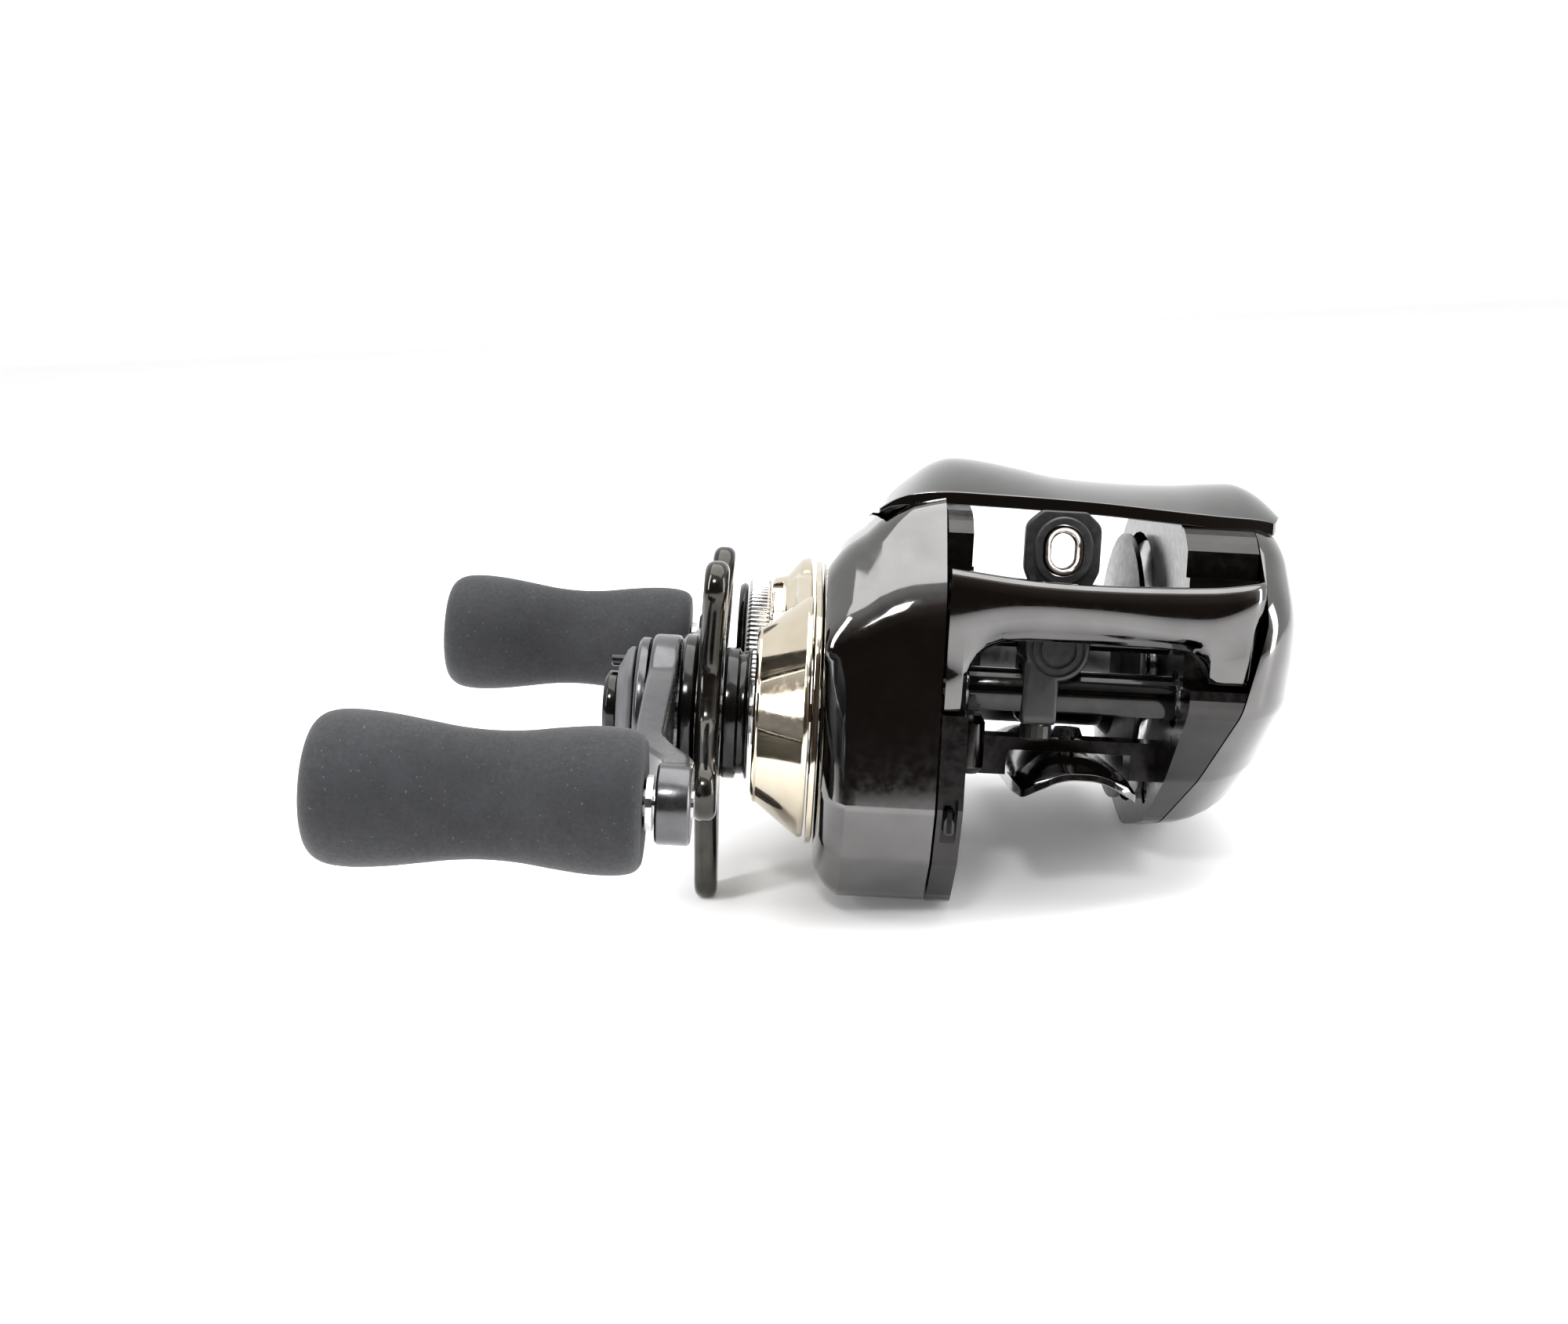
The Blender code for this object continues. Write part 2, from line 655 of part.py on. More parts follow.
def make_handle_arm():
    """A flat arm whose ends step in towards the body, with an eye at each end."""
    stations = [0.0, 5.0, 9.5, 14.0, 20.0, 26.0, 29.5, 33.0, 36.5, 39.0, 41.0, 43.2, 44.4]
    right, left = [], []
    for s in stations:
        hub = math.sqrt(max(0.0, 9.2 ** 2 - s * s))
        taper = 7.2 - 3.9 * smooth_step((s - 6) / 26)
        eye = math.sqrt(max(0.0, 3.45 ** 2 - max(0.0, s - 41.0) ** 2))
        half = max(hub, taper) if s < 39 else eye
        shift = 3.9 * smooth_step((s - 26.5) / 9.5)
        right.append((s, half, shift))
    rows = [(-s, half, shift) for s, half, shift in reversed(right[1:])] + right
    vertices, faces = [], []
    cos, sin = math.cos(HANDLE_TILT), math.sin(HANDLE_TILT)
    for s, half, shift in rows:
        for x, w in ((-52.8, -half), (-52.8, half), (-49.2, half), (-49.2, -half)):
            vertices.append((x + shift, DRIVE[0] + s * cos - w * sin, DRIVE[1] + s * sin + w * cos))
    for r in range(len(rows) - 1):
        for k in range(4):
            a, b = 4 * r + k, 4 * r + (k + 1) % 4
            faces.append((a, b, b + 4, a + 4))
    last = 4 * (len(rows) - 1)
    faces.append((0, 1, 2, 3))
    faces.append((last + 3, last + 2, last + 1, last))
    arm = mesh_object("handle_arm", vertices, faces)
    face_out(arm)
    own_finish(arm, "black")
    bevel(arm, 0.5)
    boolean(arm, hole(-60, -40, 2.6, DRIVE, 24))
    for side in (-1, 1):
        boolean(arm, hole(-60, -40, 1.75, knob_axis(side), 20))
    put_origin(arm, DRIVE)


def make_handle_fittings():
    ring("star_spacer", -48.9, -46.9, 9.6, 2.6, DRIVE, "black", 24)
    ring("handle_washer", -54.5, -53.1, 9.0, 3.9, DRIVE, "black", 24)
    lobes = []
    for k in range(12):
        angle = 2 * math.pi * k / 12
        radius = 8.0 if k % 4 < 2 else 6.9
        lobes.append((DRIVE[0] + radius * math.cos(angle), DRIVE[1] + radius * math.sin(angle)))
    retainer = prism_x("nut_retainer", lobes, -56.7, -54.8, "rubber", 0.4)
    boolean(retainer, hole(-60, -50, 3.9, DRIVE, 24))
    put_origin(retainer, DRIVE)
    nut = turned("handle_nut", [
        (0, -53.1), (3.6, -53.1), (3.6, -57.0), (4.6, -57.0), (4.6, -58.3), (4.2, -58.6), (0, -58.6),
    ], DRIVE, "black", 20)
    boolean(nut, hole(-57.8, -50, 2.6, DRIVE))
    rod("retainer_screw", -58.0, -55.2, 0.7, (DRIVE[0], DRIVE[1] + 5.9), "steel", 12)
    boolean(retainer, hole(-60, -54, 0.95, (DRIVE[0], DRIVE[1] + 5.9), 12))


def make_knob(side, name):
    """A soft paddle grip on a post, with two ball bearings and an end cap."""
    axis = knob_axis(side)
    length = KNOB_IN - KNOB_OUT
    rows = []
    shape = [(0.0, 6.9), (0.05, 7.7), (0.16, 7.75), (0.42, 6.75), (0.62, 7.1), (0.80, 8.1), (0.92, 8.2),
             (0.97, 7.6), (1.0, 6.2)]
    for t, radius in shape:
        x = KNOB_IN - t * length
        flat = 1 - 0.10 * smooth_step(t / 0.4) * smooth_step((1 - t) / 0.3)
        row = []
        for k in range(16):
            angle = 2 * math.pi * k / 16
            row.append((x, axis[0] + radius * flat * math.cos(angle), axis[1] + radius * math.sin(angle)))
        rows.append(row)
    vertices = [p for row in rows for p in row]
    faces = []
    for r in range(len(rows) - 1):
        for k in range(16):
            a, b = 16 * r + k, 16 * r + (k + 1) % 16
            faces.append((a, b, b + 16, a + 16))
    faces.append(tuple(range(16)))
    faces.append(tuple(range(16 * (len(rows) - 1), 16 * len(rows))))
    knob = mesh_object(name + "_knob", vertices, faces)
    face_out(knob)
    own_finish(knob, "rubber")
    boolean(knob, hole(KNOB_OUT + 2.4, KNOB_IN + 1, 2.6, axis, 24))
    boolean(knob, hole(KNOB_OUT - 1, KNOB_OUT + 2.6, 4.2, axis, 24))
    put_origin(knob, axis)
    rod(name + "_knob_cap", KNOB_OUT + 0.1, KNOB_OUT + 2.0, 3.9, axis, "black", 24, 0.3)
    turned(name + "_knob_post", [
        (0, -45.0), (1.6, -45.0), (1.6, -49.3), (3.0, -49.3), (3.0, -50.0), (1.5, -50.0),
        (1.5, KNOB_OUT + 4.2), (2.1, KNOB_OUT + 4.2), (2.1, KNOB_OUT + 2.7), (0, KNOB_OUT + 2.7),
    ], axis, "steel", 20)
    ring(name + "_knob_bearing", -53.0, -51.0, 2.5, 1.6, axis, "steel", 20)


# ---------------------------------------------------------------- gold side

def make_gold_side():
    """The clutch cone and the cast control's housing, one piece screwed to the side cover."""
    cone = turned("clutch_housing", [(0, -32.9), (15.0, -32.9), (15.0, -33.4), (11.0, -39.2), (10.6, -39.5),
                                     (0, -39.5)], DRIVE, "gold", 32)
    web = rounded([
        (-16.0, 17.5, 3.0), (-3.0, 21.5, 6.0), (8.0, 22.6, 6.0), (16.0, 15.0, 6.0), (14.5, 4.0, 5.0),
        (4.0, -6.0, 6.0), (-10.0, -9.0, 3.0),
    ])
    plate = prism_x("housing_web", web, -35.4, -32.95)
    tube = turned("cast_tube", [
        (0, -33.0), (9.4, -33.0), (9.4, -38.1), (7.5, -38.1), (7.5, -39.9), (0, -39.9),
    ], SPOOL, None, 24)
    for piece in (plate, tube):
        boolean(cone, piece, "UNION")
    boolean(cone, hole(-50, -30, 6.1, DRIVE, 20))
    boolean(cone, hole(-50, -36.0, 4.2, SPOOL, 20))
    boolean(cone, hole(-50, -30, 1.9, SPOOL))
    band_outline = rounded([(-28.9, -1.0, 9.0), (-26.5, 17.0, 8.0), (-12.0, 21.0, 6.0), (-3.0, 22.4, 6.0),
                            (8.0, 23.6, 6.0), (17.0, 15.6, 6.0), (15.4, 3.6, 5.0), (2.0, -9.0, 8.0),
                            (-12.0, -12.2, 8.0), (-24.0, -9.0, 8.0)])
    band = prism_x("housing_band", band_outline, -32.6, -31.9, "gold")
    boolean(band, hole(-50, -30, 6.1, DRIVE, 20))
    boolean(band, hole(-50, -30, 1.9, SPOOL))


def make_cast_control():
    knurls = 36
    outline = []
    for k in range(2 * knurls):
        radius = 9.3 if k % 2 else 9.0
        angle = math.pi * k / knurls
        outline.append((SPOOL[0] + radius * math.cos(angle), SPOOL[1] + radius * math.sin(angle)))
    cap = prism_x("cast_control_cap", outline, -41.4, -38.5, "silver")
    boolean(cap, hole(-41.0, -36.0, 7.7, SPOOL, 32))
    put_origin(cap, SPOOL)
    rod("cast_control_cover", -42.5, -41.7, 8.6, SPOOL, "black", 24, 0.3)


# ---------------------------------------------------------------- spool and clutch

def make_spool():
    turned("spool", [
        (1.7, 9.6), (6.0, 9.6), (6.5, 8.7), (16.6, 8.7), (17.0, FLANGE_RIGHT), (SPOOL_R, 9.5),
        (SPOOL_R, 8.8), (ARBOR_R + 1.2, 7.9), (ARBOR_R, 6.6), (ARBOR_R, -10.2),
        (ARBOR_R + 1.2, -11.5), (SPOOL_R, -13.0), (SPOOL_R, -13.8), (17.0, FLANGE_LEFT),
        (16.6, -12.9), (7.6, -11.9), (7.2, -9.0), (4.2, -9.0), (4.2, -12.0), (1.7, -12.0),
    ], SPOOL, "black", 28, True)
    turned("spool_shaft", [(0, 14.6), (1.2, 14.6), (1.5, 14.3), (1.5, -39.6), (1.2, -40.0), (0, -40.0)],
           SPOOL, "steel", 20)
    rod("spool_pin", -3.2, 3.2, 0.55, (0, 0), "steel", 12, 0.1)
    pin = bpy.data.objects["spool_pin"]
    pin.rotation_euler = (math.radians(90), 0.0, 0.0)
    pin.location = (-13.4 * MM, SPOOL[0] * MM, SPOOL[1] * MM)
    shaft = bpy.data.objects["spool_shaft"]
    boolean(shaft, pin, "UNION")
    ring("spool_bearing_left", -38.9, -36.2, 4.1, 1.6, SPOOL, "steel")
    ring("pinion_bearing", -17.4, -15.3, 4.8, 3.0, SPOOL, "steel")
    ring("spool_bearing_right", 12.2, 14.4, 3.6, 1.6, SPOOL, "steel")


def make_brake_side():
    turned("brake_side_plate", [
        (3.8, 16.0), (17.9, 16.0), (17.9, 13.0), (17.2, 11.9), (8.8, 11.9), (8.8, 14.6), (5.4, 14.6),
        (5.4, 12.2), (3.8, 12.2),
    ], SPOOL, "black", 32, True)
    turned("side_plate_screw", [
        (0, 13.8), (0.7, 13.8), (0.7, 12.3), (1.5, 12.3), (1.5, 11.4), (1.3, 11.2), (0.5, 11.2),
        (0.3, 11.6), (0, 11.6),
    ], SIDE_SCREW, "black")


def yoke_posts():
    """The two posts that guide the yoke, above and below the pinion."""
    return (("lower", (SPOOL[0], SPOOL[1] - 8.2)), ("upper", (SPOOL[0], SPOOL[1] + 8.2)))


def make_clutch():
    yoke = box("pinion_yoke", (-20.9, SPOOL[0] - 3.4, SPOOL[1] - 10.4),
               (-20.1, SPOOL[0] + 3.4, SPOOL[1] + 10.4), "steel")
    boolean(yoke, hole(-30, -10, 2.35, SPOOL, 24))
    mouth = box("yoke_mouth", (-30.0, SPOOL[0], SPOOL[1] - 2.3), (-10.0, SPOOL[0] + 9.0, SPOOL[1] + 2.3))
    boolean(yoke, mouth)
    for name, centre in yoke_posts():
        boolean(yoke, hole(-30, -10, 1.15, centre, 16))
        ring("yoke_spring_" + name, -29.4, -23.0, 1.6, 1.1, centre, "steel", 14)
    cam = ring("clutch_cam", -19.5, -18.3, 7.0, 3.3, SPOOL, "steel", 24)
    arm = box("cam_arm", (-19.4, SPOOL[0] + 5.0, SPOOL[1] + 3.0), (-18.4, SPOOL[0] + 16.5, SPOOL[1] + 6.0))
    boolean(cam, arm, "UNION")


def make_thumb_bar():
    bar = box("thumb_bar", (-14.1, 25.6, 14.6), (10.7, 29.6, 19.8), "black", 1.0)
    tab = box("bar_tab", (-17.2, 25.8, 15.2), (-13.0, 28.4, 18.2))
    boolean(bar, tab, "UNION")


# ---------------------------------------------------------------- level wind

def make_level_wind():
    turned("worm_shaft", [
        (0, 14.2), (1.4, 14.2), (1.4, 11.2), (2.1, 11.2), (2.1, -14.2), (1.4, -14.2), (1.4, -21.6),
        (0, -21.6),
    ], WORM, "steel", 24)
    turned("worm_bushing_right", [(1.5, 13.9), (2.8, 13.9), (3.5, 13.4), (3.5, 11.5), (1.5, 11.5)],
           WORM, "steel", 24, True)
    tube = ring("worm_tube", -14.2, 10.7, 3.3, 2.3, WORM, "black", 20)
    boolean(tube, box("tube_slot", (-12.6, WORM[0] - 1.4, 4.0), (9.6, WORM[0] + 1.4, 9.0)))
    rod("guide_rod", -14.2, 10.7, 1.1, ROD, "steel", 16)
    body = box("line_guide", (GUIDE_X - 4.0, -28.0, 12.2), (GUIDE_X + 4.0, -18.6, 18.0), "black", 0.6)
    saddle = box("guide_saddle", (GUIDE_X - 3.8, -27.8, 6.4), (GUIDE_X + 0.8, -18.9, 14.0))
    boolean(body, saddle, "UNION")
    plate_outline = rounded([
        (GUIDE_X - 2.9, 16.0, 0.3), (GUIDE_X - 2.9, 21.5, 2.0), (GUIDE_X - 4.45, 25.0, 1.5),
        (GUIDE_X - 4.45, 30.6, 1.6), (GUIDE_X - 2.4, 32.0, 0.8), (GUIDE_X + 2.4, 32.0, 0.8),
        (GUIDE_X + 4.45, 30.6, 1.6), (GUIDE_X + 4.45, 25.0, 1.5), (GUIDE_X + 2.9, 21.5, 2.0),
        (GUIDE_X + 2.9, 16.0, 0.3),
    ], 3)
    plate = extrude_y("guide_plate", plate_outline, GUIDE_Y - 1.2, GUIDE_Y + 1.2)
    boolean(body, plate, "UNION")
    boolean(body, oval_bar("ring_seat", 2.7, 3.3, GUIDE_Y - 3, GUIDE_Y + 3))
    boolean(body, hole(-30, 30, 3.42, WORM, 20))
    boolean(body, hole(-30, 30, 1.2, ROD, 16))
    boolean(body, upright("pawl_room", WORM[0], [(0, 9.0), (1.3, 9.0), (1.3, 4.0), (0, 4.0)], PAWL_X))
    loop = oval_bar("guide_ring", 2.4, 3.0, GUIDE_Y - 1.9, GUIDE_Y + 1.9)
    own_finish(loop, "silver")
    bevel(loop, 0.3)
    boolean(loop, oval_bar("ring_hole", 1.5, 2.1, GUIDE_Y - 4, GUIDE_Y + 4))
    upright("pawl", WORM[0], [(0, 7.9), (0.8, 7.9), (1.0, 7.7), (1.0, 6.1), (0, 6.1)], PAWL_X, "brass")
    upright("pawl_cap", WORM[0], [(0, 6.1), (1.9, 6.1), (1.9, 4.6), (1.6, 4.3), (0, 4.3)], PAWL_X, "steel")


def oval_bar(name, half_width, half_height, y0, y1):
    corner = half_width * 0.98
    left, right = GUIDE_X - half_width, GUIDE_X + half_width
    bottom, top = RING_Z - half_height, RING_Z + half_height
    corners = ((left, bottom), (right, bottom), (right, top), (left, top))
    outline = rounded([(x, z, corner) for x, z in corners], 5)
    return extrude_y(name, outline, y0, y1)


def make_release_button():
    box("release_button", (-16.6, -32.7, -6.6), (-15.4, -31.3, -3.5), "black", 0.3)


make_frame()
make_gear_cover()
make_palm_cover()
make_hood()
make_nose()
make_foot()
make_foot_screws()
make_gears()
make_drive_train()
make_star()
make_handle_arm()
make_handle_fittings()
make_knob(-1, "front")
make_knob(1, "rear")
make_gold_side()
make_cast_control()
make_spool()
make_brake_side()
make_clutch()
make_thumb_bar()
make_level_wind()
make_release_button()
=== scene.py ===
"""Looks of the baitcasting reel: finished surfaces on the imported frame, with studio light and a camera.

Everything is in the frame's space. Sizes in this script are in millimetres; MM turns them to metres.
"""

import json
import math

import bmesh
import bpy
from mathutils import Euler, Matrix, Vector


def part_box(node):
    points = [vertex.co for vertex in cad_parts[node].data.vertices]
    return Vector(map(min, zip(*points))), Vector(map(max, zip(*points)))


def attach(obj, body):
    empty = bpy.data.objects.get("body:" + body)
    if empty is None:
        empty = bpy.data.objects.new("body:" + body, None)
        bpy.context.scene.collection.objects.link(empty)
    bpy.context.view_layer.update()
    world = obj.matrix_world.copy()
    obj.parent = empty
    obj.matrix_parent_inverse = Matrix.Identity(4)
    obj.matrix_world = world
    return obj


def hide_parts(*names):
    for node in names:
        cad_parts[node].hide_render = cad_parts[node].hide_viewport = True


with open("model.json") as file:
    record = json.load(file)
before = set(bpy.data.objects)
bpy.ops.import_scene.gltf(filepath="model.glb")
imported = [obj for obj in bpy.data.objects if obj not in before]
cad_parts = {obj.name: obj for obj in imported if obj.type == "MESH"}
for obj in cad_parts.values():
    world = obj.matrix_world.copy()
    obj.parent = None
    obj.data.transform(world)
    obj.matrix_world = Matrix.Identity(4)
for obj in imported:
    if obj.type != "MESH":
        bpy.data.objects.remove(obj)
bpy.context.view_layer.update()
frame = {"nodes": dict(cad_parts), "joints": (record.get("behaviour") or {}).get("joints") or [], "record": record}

MM = 0.001
JOINTS = {joint["name"]: joint for joint in frame["joints"]}
SLOT_OF = {part["node"]: part["material_slot"] for part in frame["record"]["subparts"]}


def axis_of(joint):
    """The (y, z) of a joint's axis, in millimetres."""
    return tuple(c / MM for c in JOINTS[joint]["pos_m"][1:])


def low(node):
    return tuple(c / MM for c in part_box(node)[0])


def high(node):
    return tuple(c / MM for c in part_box(node)[1])


# Turning axes, as (y, z)
DRIVE = axis_of("handle_spin")
SPOOL = axis_of("spool_spin")
WORM = axis_of("worm_spin")
PARTING = high("gear_side_cover")[0]
COVER_OUT = low("gear_side_cover")[0]
PALM_OUT = high("palm_side_cover")[0]
HANDLE_HALF, HANDLE_TILT = 41.0, math.radians(7.5)
GUIDE_X = (low("guide_ring")[0] + high("guide_ring")[0]) / 2
GUIDE_Y = (low("guide_ring")[1] + high("guide_ring")[1]) / 2
RING_Z = (low("guide_ring")[2] + high("guide_ring")[2]) / 2
# The rod that steadies the line guide, as (y, z), and the middle of the guide's round foot
ROD = (-20.3, 16.2)
BOSS_Z = 15.6


# ---------------------------------------------------------------- materials

def nodes_of(name):
    material = bpy.data.materials.new(name)
    material.use_nodes = True
    tree = material.node_tree
    return material, tree, tree.nodes["Principled BSDF"]


def noise(tree, scale, detail=4.0, rough=0.5, stretch=(1, 1, 1)):
    """Noise in the object's own space, in features per millimetre."""
    where = tree.nodes.new("ShaderNodeTexCoord")
    mapping = tree.nodes.new("ShaderNodeMapping")
    mapping.inputs["Scale"].default_value = tuple(s / MM for s in stretch)
    texture = tree.nodes.new("ShaderNodeTexNoise")
    texture.inputs["Scale"].default_value = scale
    texture.inputs["Detail"].default_value = detail
    texture.inputs["Roughness"].default_value = rough
    tree.links.new(where.outputs["Object"], mapping.inputs["Vector"])
    tree.links.new(mapping.outputs["Vector"], texture.inputs["Vector"])
    return texture.outputs["Fac"]


def ramp(tree, source, low_value, high_value, start=0.35, end=0.65):
    """Maps a 0..1 signal to a range."""
    node = tree.nodes.new("ShaderNodeMapRange")
    node.inputs["From Min"].default_value = start
    node.inputs["From Max"].default_value = end
    node.inputs["To Min"].default_value = low_value
    node.inputs["To Max"].default_value = high_value
    tree.links.new(source, node.inputs["Value"])
    return node.outputs["Result"]


def tint(tree, source, dark, light, start=0.3, end=0.7):
    node = tree.nodes.new("ShaderNodeValToRGB")
    node.color_ramp.elements[0].position = start
    node.color_ramp.elements[0].color = (*dark, 1)
    node.color_ramp.elements[1].position = end
    node.color_ramp.elements[1].color = (*light, 1)
    tree.links.new(source, node.inputs["Fac"])
    return node.outputs["Color"]


def bump(tree, shader, height, strength, distance):
    node = tree.nodes.new("ShaderNodeBump")
    node.inputs["Strength"].default_value = strength
    node.inputs["Distance"].default_value = distance * MM
    tree.links.new(height, node.inputs["Height"])
    tree.links.new(node.outputs["Normal"], shader.inputs["Normal"])


def plated(name, dark, light, rough, rough_spread, ripple=0.0, stretch=(1, 1, 1)):
    """Polished or plated metal with faint handling marks."""
    material, tree, shader = nodes_of(name)
    shader.inputs["Metallic"].default_value = 1.0
    colour = tint(tree, noise(tree, 0.22, 3.0), dark, light)
    tree.links.new(colour, shader.inputs["Base Color"])
    smudge = noise(tree, 0.9, 6.0, 0.62, stretch)
    tree.links.new(ramp(tree, smudge, rough, rough + rough_spread), shader.inputs["Roughness"])
    bump(tree, shader, noise(tree, 0.35, 2.0, 0.4), ripple, 0.05)
    return material


def coated(name, dark, light, rough, rough_spread, grain, depth, metallic=0.0, coat=0.0):
    """Paint, plastic or anodising with a fine grain."""
    material, tree, shader = nodes_of(name)
    shader.inputs["Metallic"].default_value = metallic
    shader.inputs["Coat Weight"].default_value = coat
    shader.inputs["Coat Roughness"].default_value = 0.05
    colour = tint(tree, noise(tree, 0.5, 5.0), dark, light)
    tree.links.new(colour, shader.inputs["Base Color"])
    smudge = noise(tree, 1.4, 5.0)
    tree.links.new(ramp(tree, smudge, rough, rough + rough_spread), shader.inputs["Roughness"])
    bump(tree, shader, noise(tree, grain, 2.0, 0.5), 0.12, depth)
    return material


def speckled_rubber():
    """Soft-touch foam rubber with pores and the odd pale speck."""
    material, tree, shader = nodes_of("knob_rubber")
    shader.inputs["Specular IOR Level"].default_value = 0.25
    shader.inputs["Sheen Weight"].default_value = 0.12
    shader.inputs["Sheen Roughness"].default_value = 0.5
    base = tint(tree, noise(tree, 0.35, 5.0), (0.020, 0.0207, 0.0235), (0.0255, 0.0264, 0.030))
    specks = ramp(tree, noise(tree, 3.2, 2.0, 0.4), 0.0, 0.22, 0.70, 0.78)
    mix = tree.nodes.new("ShaderNodeMix")
    mix.data_type = "RGBA"
    mix.inputs["B"].default_value = (0.30, 0.31, 0.32, 1)
    tree.links.new(specks, mix.inputs["Factor"])
    tree.links.new(base, mix.inputs["A"])
    tree.links.new(mix.outputs["Result"], shader.inputs["Base Color"])
    tree.links.new(ramp(tree, noise(tree, 2.0, 4.0), 0.62, 0.80), shader.inputs["Roughness"])
    bump(tree, shader, noise(tree, 7.0, 4.0, 0.75), 0.5, 0.03)
    return material


FINISH = {
    "gunmetal": plated("dark_chrome", (0.128, 0.126, 0.124), (0.150, 0.148, 0.146), 0.05, 0.05, 0.02),
    "frame_black": plated("black_chrome", (0.040, 0.039, 0.038), (0.054, 0.052, 0.051), 0.14, 0.10, 0.02),
    "black": coated("gloss_black", (0.022, 0.022, 0.022), (0.034, 0.033, 0.032), 0.09, 0.08, 1.5, 0.002,
                    metallic=0.9, coat=0.2),
    "arm": coated("satin_grey", (0.085, 0.085, 0.090), (0.105, 0.105, 0.110), 0.20, 0.08, 1.5, 0.002,
                  metallic=0.9, coat=0.2),
    "star": coated("star_black", (0.030, 0.028, 0.025), (0.046, 0.043, 0.037), 0.10, 0.08, 1.5, 0.002,
                   metallic=0.9, coat=0.3),
    "gold": plated("champagne_plate", (0.64, 0.57, 0.44), (0.71, 0.64, 0.51), 0.06, 0.06, 0.02),
    "silver": plated("satin_silver", (0.62, 0.62, 0.63), (0.74, 0.74, 0.75), 0.18, 0.12, 0.0),
    "titanium": plated("guide_metal", (0.60, 0.56, 0.52), (0.74, 0.71, 0.68), 0.08, 0.08, 0.0),
    "steel": plated("ground_steel", (0.50, 0.50, 0.51), (0.62, 0.62, 0.63), 0.16, 0.14, 0.0, (8, 1, 1)),
    "brass": plated("machined_brass", (0.62, 0.45, 0.20), (0.76, 0.58, 0.30), 0.18, 0.12, 0.0),
    "carbon": coated("carbon_washer", (0.012, 0.012, 0.012), (0.05, 0.05, 0.05), 0.45, 0.2, 4.0, 0.01),
    "nylon": coated("nylon", (0.70, 0.69, 0.65), (0.78, 0.77, 0.73), 0.40, 0.1, 2.0, 0.01),
    "guide_plastic": coated("satin_plastic", (0.010, 0.010, 0.011), (0.015, 0.015, 0.016), 0.28, 0.12,
                            5.0, 0.01),
    "retainer": coated("soft_grey_plastic", (0.085, 0.087, 0.092), (0.100, 0.102, 0.108), 0.45, 0.12,
                       4.0, 0.01),
    "spool_grey": plated("spool_anodise", (0.16, 0.16, 0.165), (0.21, 0.21, 0.215), 0.28, 0.15),
    "rubber": speckled_rubber(),
}


# ---------------------------------------------------------------- mesh makers

NEAR_AXIS = 0.01


def new_piece(name, vertices, faces, finish, body, slot, *nodes, sharp=30.0):
    """A finished piece in the frame's space, riding on a CAD body and standing for CAD nodes."""
    mesh = bpy.data.meshes.new(name)
    mesh.from_pydata([tuple(c * MM for c in v) for v in vertices], [], faces)
    shape = bmesh.new()
    shape.from_mesh(mesh)
    bmesh.ops.remove_doubles(shape, verts=shape.verts, dist=0.000002)
    bmesh.ops.recalc_face_normals(shape, faces=shape.faces)
    shape.to_mesh(mesh)
    shape.free()
    mesh.shade_smooth()
    mesh.set_sharp_from_angle(angle=math.radians(sharp))
    obj = bpy.data.objects.new(name, mesh)
    bpy.context.scene.collection.objects.link(obj)
    mesh.materials.append(FINISH[finish])
    if body:
        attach(obj, body)
    if nodes:
        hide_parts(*nodes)
    return obj


def fillet(points, segments=3, closed=True):
    """Rounds the corners of a flat outline; each point is (u, v) or (u, v, radius)."""
    result = []
    count = len(points)
    for i, point in enumerate(points):
        radius = point[2] if len(point) > 2 else 0.0
        here = Vector(point[:2])
        if not radius or (not closed and i in (0, count - 1)):
            result.append(tuple(here))
            continue
        back = Vector(points[i - 1][:2]) - here
        ahead = Vector(points[(i + 1) % count][:2]) - here
        half = back.angle(ahead) / 2
        reach = min(radius / math.tan(half), back.length * 0.49, ahead.length * 0.49)
        start = here + back.normalized() * reach
        end = here + ahead.normalized() * reach
        for k in range(segments + 1):
            t = k / segments
            result.append(tuple(start * (1 - t) ** 2 + here * 2 * t * (1 - t) + end * t ** 2))
    return result


def rings_to_faces(rings, count, loop=False):
    """Faces between rings of points; without a loop, the first and last rings are closed."""
    faces = []
    for r in range(rings if loop else rings - 1):
        here, there = r * count, (r + 1) % rings * count
        for k in range(count):
            after = (k + 1) % count
            faces.append((here + k, here + after, there + after, there + k))
    if not loop:
        faces.append(tuple(range(count)))
        faces.append(tuple(range((rings - 1) * count, rings * count)))
    return faces


def sheet_faces(columns, rows):
    """Faces of a closed sheet: a grid of points on top, the same grid below, and a rim between them."""
    width = columns + 1
    count = width * (rows + 1)
    faces = []
    for j in range(rows):
        for i in range(columns):
            a = j * width + i
            faces.append((a, a + 1, a + width + 1, a + width))
            faces.append((count + a, count + a + width, count + a + width + 1, count + a + 1))
    rim = list(range(width)) + [j * width + columns for j in range(1, rows + 1)]
    rim += [rows * width + i for i in range(columns - 1, -1, -1)]
    rim += [j * width for j in range(rows - 1, 0, -1)]
    for a, b in zip(rim, rim[1:] + rim[:1]):
        faces.append((a, b, b + count, a + count))
    return faces


def flat(rows):
    return [point for row in rows for point in row]


def angles(steps):
    return [2 * math.pi * k / steps for k in range(steps)]


def rings_about(outline, centre, steps, ripple=None):
    """A ring of points about an axis along X for each (radius, x) of an outline."""
    rows = []
    for radius, x in outline:
        row = []
        for angle in angles(steps):
            r = ripple(radius, x, angle) if ripple else radius
            row.append((x, centre[0] + r * math.cos(angle), centre[1] + r * math.sin(angle)))
        rows.append(row)
    return rows


